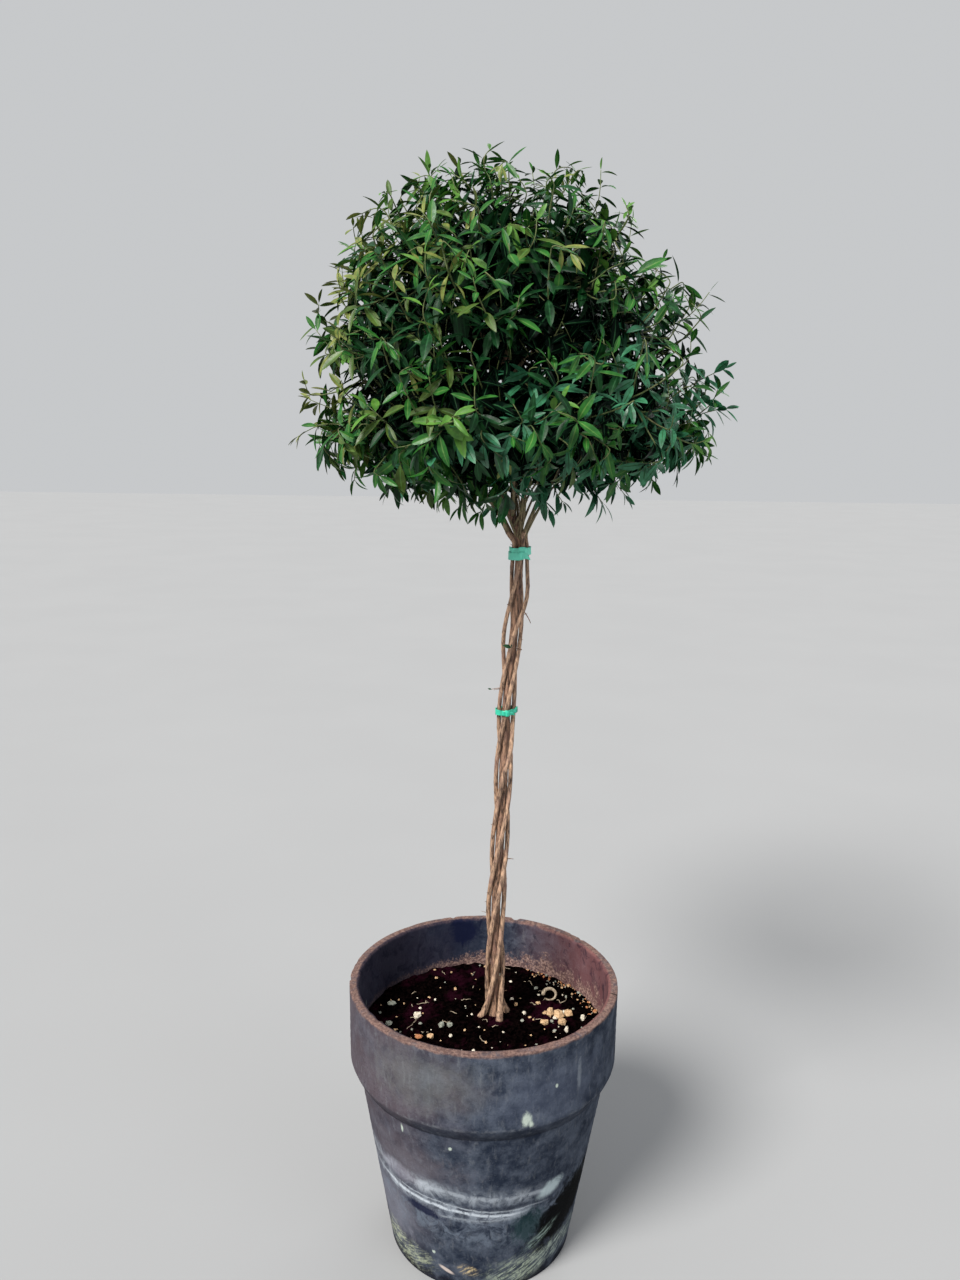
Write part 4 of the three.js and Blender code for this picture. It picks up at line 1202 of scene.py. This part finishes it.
def airy(point):
    """The share of shoots left out at a place: the wall shows through the right edge and the rim."""
    right = smooth(point[0], CROWN_X + 30, CROWN_X + 85)
    rim = smooth(point[2], CROWN_WAIST - 8, CROWN_WAIST - 40)
    top = smooth(point[0], CROWN_X - 5, CROWN_X + 30) * smooth(point[2], 575, 605)
    return max(0.33 * right, 0.3 * rim, 0.1 * top)


class Leaves:
    """Leaves of one colour, gathered for one mesh: a blade folded along a paler midrib."""

    def __init__(self, name, blade, rib):
        self.name, self.materials = name, [blade, rib]
        self.rows = []

    def add(self, base, way, face, length, width, fold, curl, sickle=0.0):
        self.rows.append((*base, *way, *face, length, width, fold, curl, sickle))

    def piece(self):
        data = np.array(self.rows)
        base, way, face = data[:, 0:3], data[:, 3:6], data[:, 6:9]
        length, width, fold, curl, sickle = (data[:, i][:, None] for i in range(9, 14))
        side = np.cross(way, face)
        points = [base]
        for t, wide in LEAF_ROWS:
            half = 0.5 * width * wide
            spine = base + way * length * t * (1 - 0.25 * curl * t) - face * length * curl * t**2
            spine += side * length * sickle * t**2
            rib = 0.16 * (1 - t) + 0.04
            for share in (-1.0, -rib, rib, 1.0):
                lift = face * half * fold * abs(share)
                points.append(spine + side * half * share * np.sqrt(np.maximum(0.0, 1 - fold**2)) + lift)
        points.append(base + way * length * (1 - 0.25 * curl) - face * length * curl + side * length * sickle)
        vertices = np.stack(points, axis=1)
        tip = vertices.shape[1] - 1
        pattern = [(0, 1 + k, 2 + k) for k in range(3)]
        for a in range(1, tip - 4, 4):
            pattern += [(a + k, a + 4 + k, a + 5 + k, a + 1 + k) for k in range(3)]
        pattern += [(tip - 4 + k, tip, tip - 3 + k) for k in range(3)]
        starts = range(0, len(data) * (tip + 1), tip + 1)
        faces = [tuple(p + start for p in face) for start in starts for face in pattern]
        kinds = [0, 1, 0] * (len(faces) // 3)
        return mesh_piece(self.name, vertices.reshape(-1, 3), faces, self.materials, "foliage", kinds)


class Crown:
    """Grows branches from the boughs' ends, shoots from the branches and leaves along the shoots."""

    def __init__(self, leaf_kinds):
        self.rng = np.random.default_rng(CROWN_SEED)
        self.kinds = leaf_kinds
        self.branches, self.shoots, self.fan = Heap(), Heap(), Heap()
        self.lines = []

    def branch(self, mass, target, out):
        """A branch from the end of the mass's bough, by way of the mass, to just inside the outline."""
        rng = self.rng
        points = mass.bough()
        root = points[-1] if points is not None else trunk_centre(MAIN_TIP_HEIGHT)
        hub = lerp(root, mass.centre(), 0.25 + 0.5 * rng.random())
        tip = target - out * (26 + 14 * rng.random())
        stalk = bezier(root, lerp(root, hub, 0.5), hub, 4)[:-1]
        line = np.concatenate([stalk, crooked(rng, hub, tip, 0.55, 2.5, 9, UP * 4)])
        self.branches.add(*twig(line, *BRANCH_SIZE))
        self.lines.append(line[5:])

    def shoot(self, target, out):
        """A shoot from the nearest branch that turns at the outline and runs along it a little."""
        rng = self.rng
        lot = rng.random()
        sprig, deep = lot < SPRIG_SHARE, lot > 1 - DEEP_SHARE
        least, spread = SPRIG_DEPTH if sprig else DEEP_DEPTH if deep else OUTER_DEPTH
        depth = least + spread * rng.random()
        low = smooth(target[2], CROWN_WAIST + 12, CROWN_WAIST - 34)
        drift = rng.normal(0, 1, 3) + UP * (0.9 - 2.1 * low)
        drift = unit(drift - out * drift.dot(out))
        run = 6 + 8 * rng.random()
        elbow = target - out * (depth + 8) + rng.normal(0, 2.0, 3)
        tip = elbow + out * (7.0 if sprig else 5.0) + drift * run - UP * (3.0 * low)
        least, most = SPRIG_REACH if sprig else SHOOT_REACH
        tip = kept_in(tip, lerp(least, most, math.sqrt(rng.random())) - 2 * low)
        self.sprout(elbow, tip, out, deep, low)

    def sprout(self, elbow, tip, out, deep, low):
        """The shoot itself, from the nearest branch through its elbow to its tip, with its leaves."""
        rng = self.rng
        gaps = [np.linalg.norm(line - elbow, axis=1) for line in self.lines]
        costs = [np.min(gap) + np.min(np.abs(gap - SHOOT_BACK)) for gap in gaps]
        best = int(np.argmin(costs))
        start = self.lines[best][int(np.argmin(np.abs(gaps[best] - SHOOT_BACK)))]
        bend = lerp(start, elbow, 0.55) + UP * lerp(-3.5, 1.5, low) + rng.normal(0, 1.2, 3)
        turn = elbow + unit(elbow - bend) * np.linalg.norm(tip - elbow) * 0.4
        curve = np.concatenate([bezier(start, bend, elbow, 5)[:-1], bezier(elbow, turn, tip, 5)])
        self.shoots.add(*twig(curve, *SHOOT_SIZE))
        self.leaves(curve, out, deep, low)

    def kind(self, point, young, deep):
        """The colour of a spray, from its place: painted light, paler at the top and left and lifted low on
        the right, cooler low on the right, and painted shade for deep sprays.
        """
        height = (point[2] - LIGHT_FOOT) / LIGHT_HEIGHT
        left = (CROWN_X - point[0]) / LIGHT_HALF_WIDTH
        left *= 1.0 if left > 0 else 0.35
        light = 0.42 + 0.42 * (height - 0.45) + 0.24 * left + 0.17 * self.rng.normal() + 0.16 * young
        # painted light: leaves low on the right are lifted a step brighter
        light += 0.13 * smooth(point[0], CROWN_X + 10, CROWN_X + 80) * smooth(point[2], 560, 480)
        if not deep and left + 0.4 * self.rng.normal() > 0.58:
            return "bronze" if light > 0.74 else ("moss" if light > 0.48 else "mid")
        dim = "cool" if height + 0.8 * left < 0.42 else "deep"
        half = "cool" if height + 1.6 * left < 0.16 else "deep"
        order = ("shade", dim, half, "mid", "fresh", "olive")
        # deep sprays take painted shade
        return order[int(np.searchsorted(LIGHT_STEPS, light - 0.7 * deep))]

    def leaves(self, curve, out, deep, low):
        """Opposite pairs, each turned a quarter from the last, from the shoot's tip back along it."""
        rng = self.rng
        steps = np.linalg.norm(np.diff(curve, axis=0), axis=1)
        reach = np.concatenate([[0], np.cumsum(steps)])
        roll = rng.random() * math.pi
        size = LEAF_LENGTH * (0.78 + 0.3 * rng.random() + 0.34 * rng.random() ** 2 * (0.4 + 0.6 * low))
        top = smooth(curve[-1][2], *TOP_HEIGHTS)
        size *= 1 - 0.2 * top
        young, spray, shaded = (self.kind(curve[-1], age, deep) for age in LEAF_YOUTH_AND_SHADE)
        step = LEAF_STEP * (0.85 + 0.35 * rng.random()) * (1 - 0.3 * top) * (1 + 0.2 * low)
        pair, back = 0, 1.2
        while back < min(reach[-1] * 0.85, LEAF_REACH):
            i = max(0, int(np.searchsorted(reach, reach[-1] - back)) - 1)
            along = unit(curve[i + 1] - curve[i])
            base = lerp(curve[i], curve[i + 1], (reach[-1] - back - reach[i]) / steps[i])
            level = np.cross(along, UP)
            level = unit(level) if np.linalg.norm(level) > 0.1 else vec(1, 0, 0)
            other = np.cross(along, level)
            turn = roll + pair * math.pi / 2
            for half in (0, math.pi):
                if rng.random() < MISSING_LEAVES:
                    continue
                side = level * math.cos(turn + half) + other * math.sin(turn + half)
                spread = 0.6 + 0.16 * min(pair, 3) + 0.25 * rng.random()
                way = along * math.cos(spread) + side * math.sin(spread)
                way = way - UP * (0.24 + 0.32 * rng.random() + 0.42 * low * rng.random())
                grow = 0.6 + 0.4 * min(1.0, (pair + 0.5) / 2.4)
                # pairs further back along the shoot take painted shade
                kind = young if pair < 2 else (spray if pair < 4 else shaded)
                self.leaf(base, unit(way), out, size * grow, kind, low)
            pair += 1
            back += step * (0.9 + 0.2 * rng.random())
        if rng.random() < TIP_LEAVES:
            self.leaf(curve[-1], unit(curve[-1] - curve[-2]), out, size * 0.5, young, low)

    def leaf(self, base, way, out, length, kind, low):
        """One leaf, turned by chance round its own line, broader or slimmer and a little curled."""
        rng = self.rng
        face = out * (0.55 + 0.5 * low) + UP * (0.85 - 0.5 * low) + rng.normal(0, 0.36, 3)
        face = face - way * face.dot(way)
        if np.linalg.norm(face) < 0.15:
            face = np.cross(way, vec(1, 0, 0))
        length = length * (0.86 + 0.28 * rng.random())
        width = length * LEAF_WIDTH * (0.84 + 0.34 * rng.random())
        curl = (0.03 + 0.26 * rng.random() ** 1.5) * (1 + 0.7 * low)
        fold = 0.16 + 0.32 * rng.random()
        sickle = rng.normal(0, 0.07 + 0.06 * low)
        self.kinds[kind].add(base, way, unit(face), length, width, fold, curl, sickle)

    def inner_leaves(self):
        """Shaded leaves along the branches, inside the crown."""
        rng = self.rng
        for line in self.lines:
            for _ in range(INNER_LEAVES):
                i = rng.integers(1, len(line) - 1)
                base = lerp(line[i], line[i + 1], rng.random()) + rng.normal(0, 3.5, 3)
                if rng.random() < 1.5 * airy(base):
                    continue
                out = unit(base - crown_centre(CROWN_WAIST + 20))
                way = unit(rng.normal(0, 0.8, 3) + out * 0.5 - UP * 0.5)
                self.leaf(base, way, out, LEAF_LENGTH * (0.9 + 0.4 * rng.random()), "inner", 0.3)

    def core_twigs(self):
        """Short side twigs of the main stem at the crown's waist, for inner leaves alone."""
        rng = self.rng
        for i in range(CORE_TWIGS):
            out = around(i * GOLDEN_ANGLE)
            start = trunk_centre(CORE_START + CORE_BAND * rng.random())
            end = start + out * (40 + 36 * rng.random()) + UP * (2 + 8 * rng.random())
            line = crooked(rng, start, end, 0.5, 3.0, 9)
            self.branches.add(*twig(line, *CORE_SIZE))
            self.lines.append(line)

    def fan_twigs(self):
        """Slim twigs that leave the stems just over the upper tie and spread into the lower crown."""
        rng = self.rng
        for i in range(FAN_TWIGS):
            out = around(math.tau * (i + 0.3 * rng.random()) / FAN_TWIGS - 0.5)
            start = trunk_centre(FAN_START + FAN_BAND * rng.random()) + out * 2.2
            end = start + out * (8 + 20 * rng.random()) + vec(2, 0, 26 + 18 * rng.random())
            line = crooked(rng, start, end, 0.45, 2.4, 12, out * -4.5)
            line += np.outer(np.sin(np.linspace(0, 3, len(line))), rng.normal(0, 2.0, 3))
            self.fan.add(*twig(line, *FAN_SIZE))

    def grow(self):
        """Branches first, then the shoots, each with chances of its own, the sprays and the inside."""
        spaces = masses()
        for target, out in outline_targets(BRANCH_COUNT):
            mass = next(m for m in spaces if m.holds(target))
            self.branch(mass, target, out)
        gap_top, gap_middle, gap_half, gap_share = FORK_GAP
        for i, (target, out) in enumerate(outline_targets(SHOOT_COUNT)):
            self.rng = np.random.default_rng([CROWN_SEED, i])
            off = abs(math.degrees(math.atan2(target[0] - 8, CROWN_Y - target[1])) - gap_middle)
            if target[2] < gap_top and off < gap_half and self.rng.random() < gap_share:
                continue
            if self.rng.random() < airy(target):
                continue
            self.shoot(target, out)
        for i, (x, z) in enumerate(SPRIGS):
            tip = vec(x, CROWN_Y + (SPRIG_SIDESTEP if i % 2 else -SPRIG_SIDESTEP), z)
            out = unit(tip - crown_centre(CROWN_WAIST + 8))
            rise = UP * (6 if z > CROWN_WAIST else -4)
            self.sprout(tip - out * 28 - rise, tip - out * 9, out, False, 0.3)
        for x, z in LOW_SPRAYS:
            tip = vec(x, LOW_SPRAY_FRONT - 6 * self.rng.random(), z)
            out = unit(vec(x - CROWN_X, -26, -12))
            self.sprout(tip - out * 5 + vec(0, 5, 15), tip, out, False, 0.8)
        for x, z in RIM_SPRAYS:
            out = unit(vec(x - CROWN_X, self.rng.normal(0, 14), -24))
            tip = vec(x, CROWN_Y + self.rng.normal(0, 9), z + 6)
            self.sprout(tip - out * 6 + UP * 13, tip, out, False, 1.0)
        self.core_twigs()
        self.inner_leaves()
        self.fan_twigs()


def crown_pieces(young):
    rib = leaf_material("leaf_midrib", (0.045, 0.112, 0.022), (0.088, 0.178, 0.042), 0.45, 0.15)
    # a darker copy of the midrib: painted shade for the leaves in shade
    shaded_rib = leaf_material("leaf_midrib_dark", (0.010, 0.052, 0.018), (0.024, 0.085, 0.032), 0.45, 0.1)
    kinds = {}
    for name, (low, high, gloss, dark) in LEAF_COLOURS.items():
        blade = leaf_material(f"leaf_{name}", low, high, gloss=gloss)
        kinds[name] = Leaves(f"leaves_{name}", blade, shaded_rib if dark else rib)
    crown = Crown(kinds)
    crown.grow()
    names = [mass.name for mass in masses()]
    shaded = bark_material("shaded_bark", (0.016, 0.012, 0.007), (0.070, 0.052, 0.028), (0.040, 0.034, 0.018))
    crown.branches.piece("crown_branches", shaded, "bark")
    crown.fan.piece("fan_twigs", young, "bark")
    green = bark_material("green_shoots", (0.036, 0.062, 0.018), (0.130, 0.165, 0.055), (0.16, 0.150, 0.070))
    crown.shoots.piece("crown_shoots", green, "foliage")
    pieces = [kind.piece() for kind in kinds.values() if kind.rows]
    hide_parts(*names)


# Studio


def add_camera():
    camera = bpy.data.objects.new("camera", bpy.data.cameras.new("camera"))
    camera.data.lens = CAMERA_LENS
    camera.data.sensor_width = 36
    camera.data.clip_end = 100
    turn = Matrix.Rotation(math.pi / 2 - CAMERA_PITCH, 4, "X") @ Matrix.Rotation(CAMERA_ROLL, 4, "Z")
    camera.matrix_world = Matrix.Translation(Vector(CAMERA_PLACE) * MM) @ turn
    scene.collection.objects.link(camera)
    scene.camera = camera


def add_sun(name, place, angle, energy, colour):
    light = bpy.data.lights.new(name, "SUN")
    light.angle, light.energy, light.color = angle, energy, colour
    lamp = bpy.data.objects.new(name, light)
    lamp.location = place
    lamp.rotation_euler = (Vector(LIGHT_AIM) - Vector(place)).to_track_quat("-Z", "Y").to_euler()
    scene.collection.objects.link(lamp)


def add_studio():
    corners = [(x * FLOOR_HALF, y * FLOOR_HALF, 0) for x, y in ((-1, -1), (1, -1), (1, 1), (-1, 1))]
    floor = mesh_piece("studio_floor", corners, [(0, 1, 2, 3)], [floor_material()], None)
    scene.world = bpy.data.worlds.new("studio")
    scene.world.use_nodes = True
    background = scene.world.node_tree.nodes["Background"]
    background.inputs["Color"].default_value = WORLD_COLOUR
    background.inputs["Strength"].default_value = WORLD_STRENGTH
    for sun in SUNS:
        add_sun(*sun)
    scene.view_settings.view_transform = "Standard"
    scene.view_settings.exposure = EXPOSURE


add_camera()
add_studio()
bark = bark_material("old_bark", (0.020, 0.011, 0.008), (0.36, 0.208, 0.136), (0.19, 0.104, 0.082))
thin_bark = bark_material("thin_bark", (0.046, 0.026, 0.020), (0.50, 0.318, 0.208), (0.25, 0.145, 0.112))
young = bark_material("young_bark", (0.085, 0.060, 0.034), (0.31, 0.24, 0.14), (0.15, 0.13, 0.07), 0.4)
soil = soil_material()
tape = tape_material()
pot_piece(Clay().painted())
soil_piece(soil)
crumb_pieces(soil)
fibre_piece()
limb_pieces(bark, thin_bark, young)
stub_pieces(bark, leaf_material("leaf_trunk", (0.006, 0.030, 0.012), (0.016, 0.062, 0.020)))
for tie in TIES:
    tie_piece(tape, *tie)
crown_pieces(young)
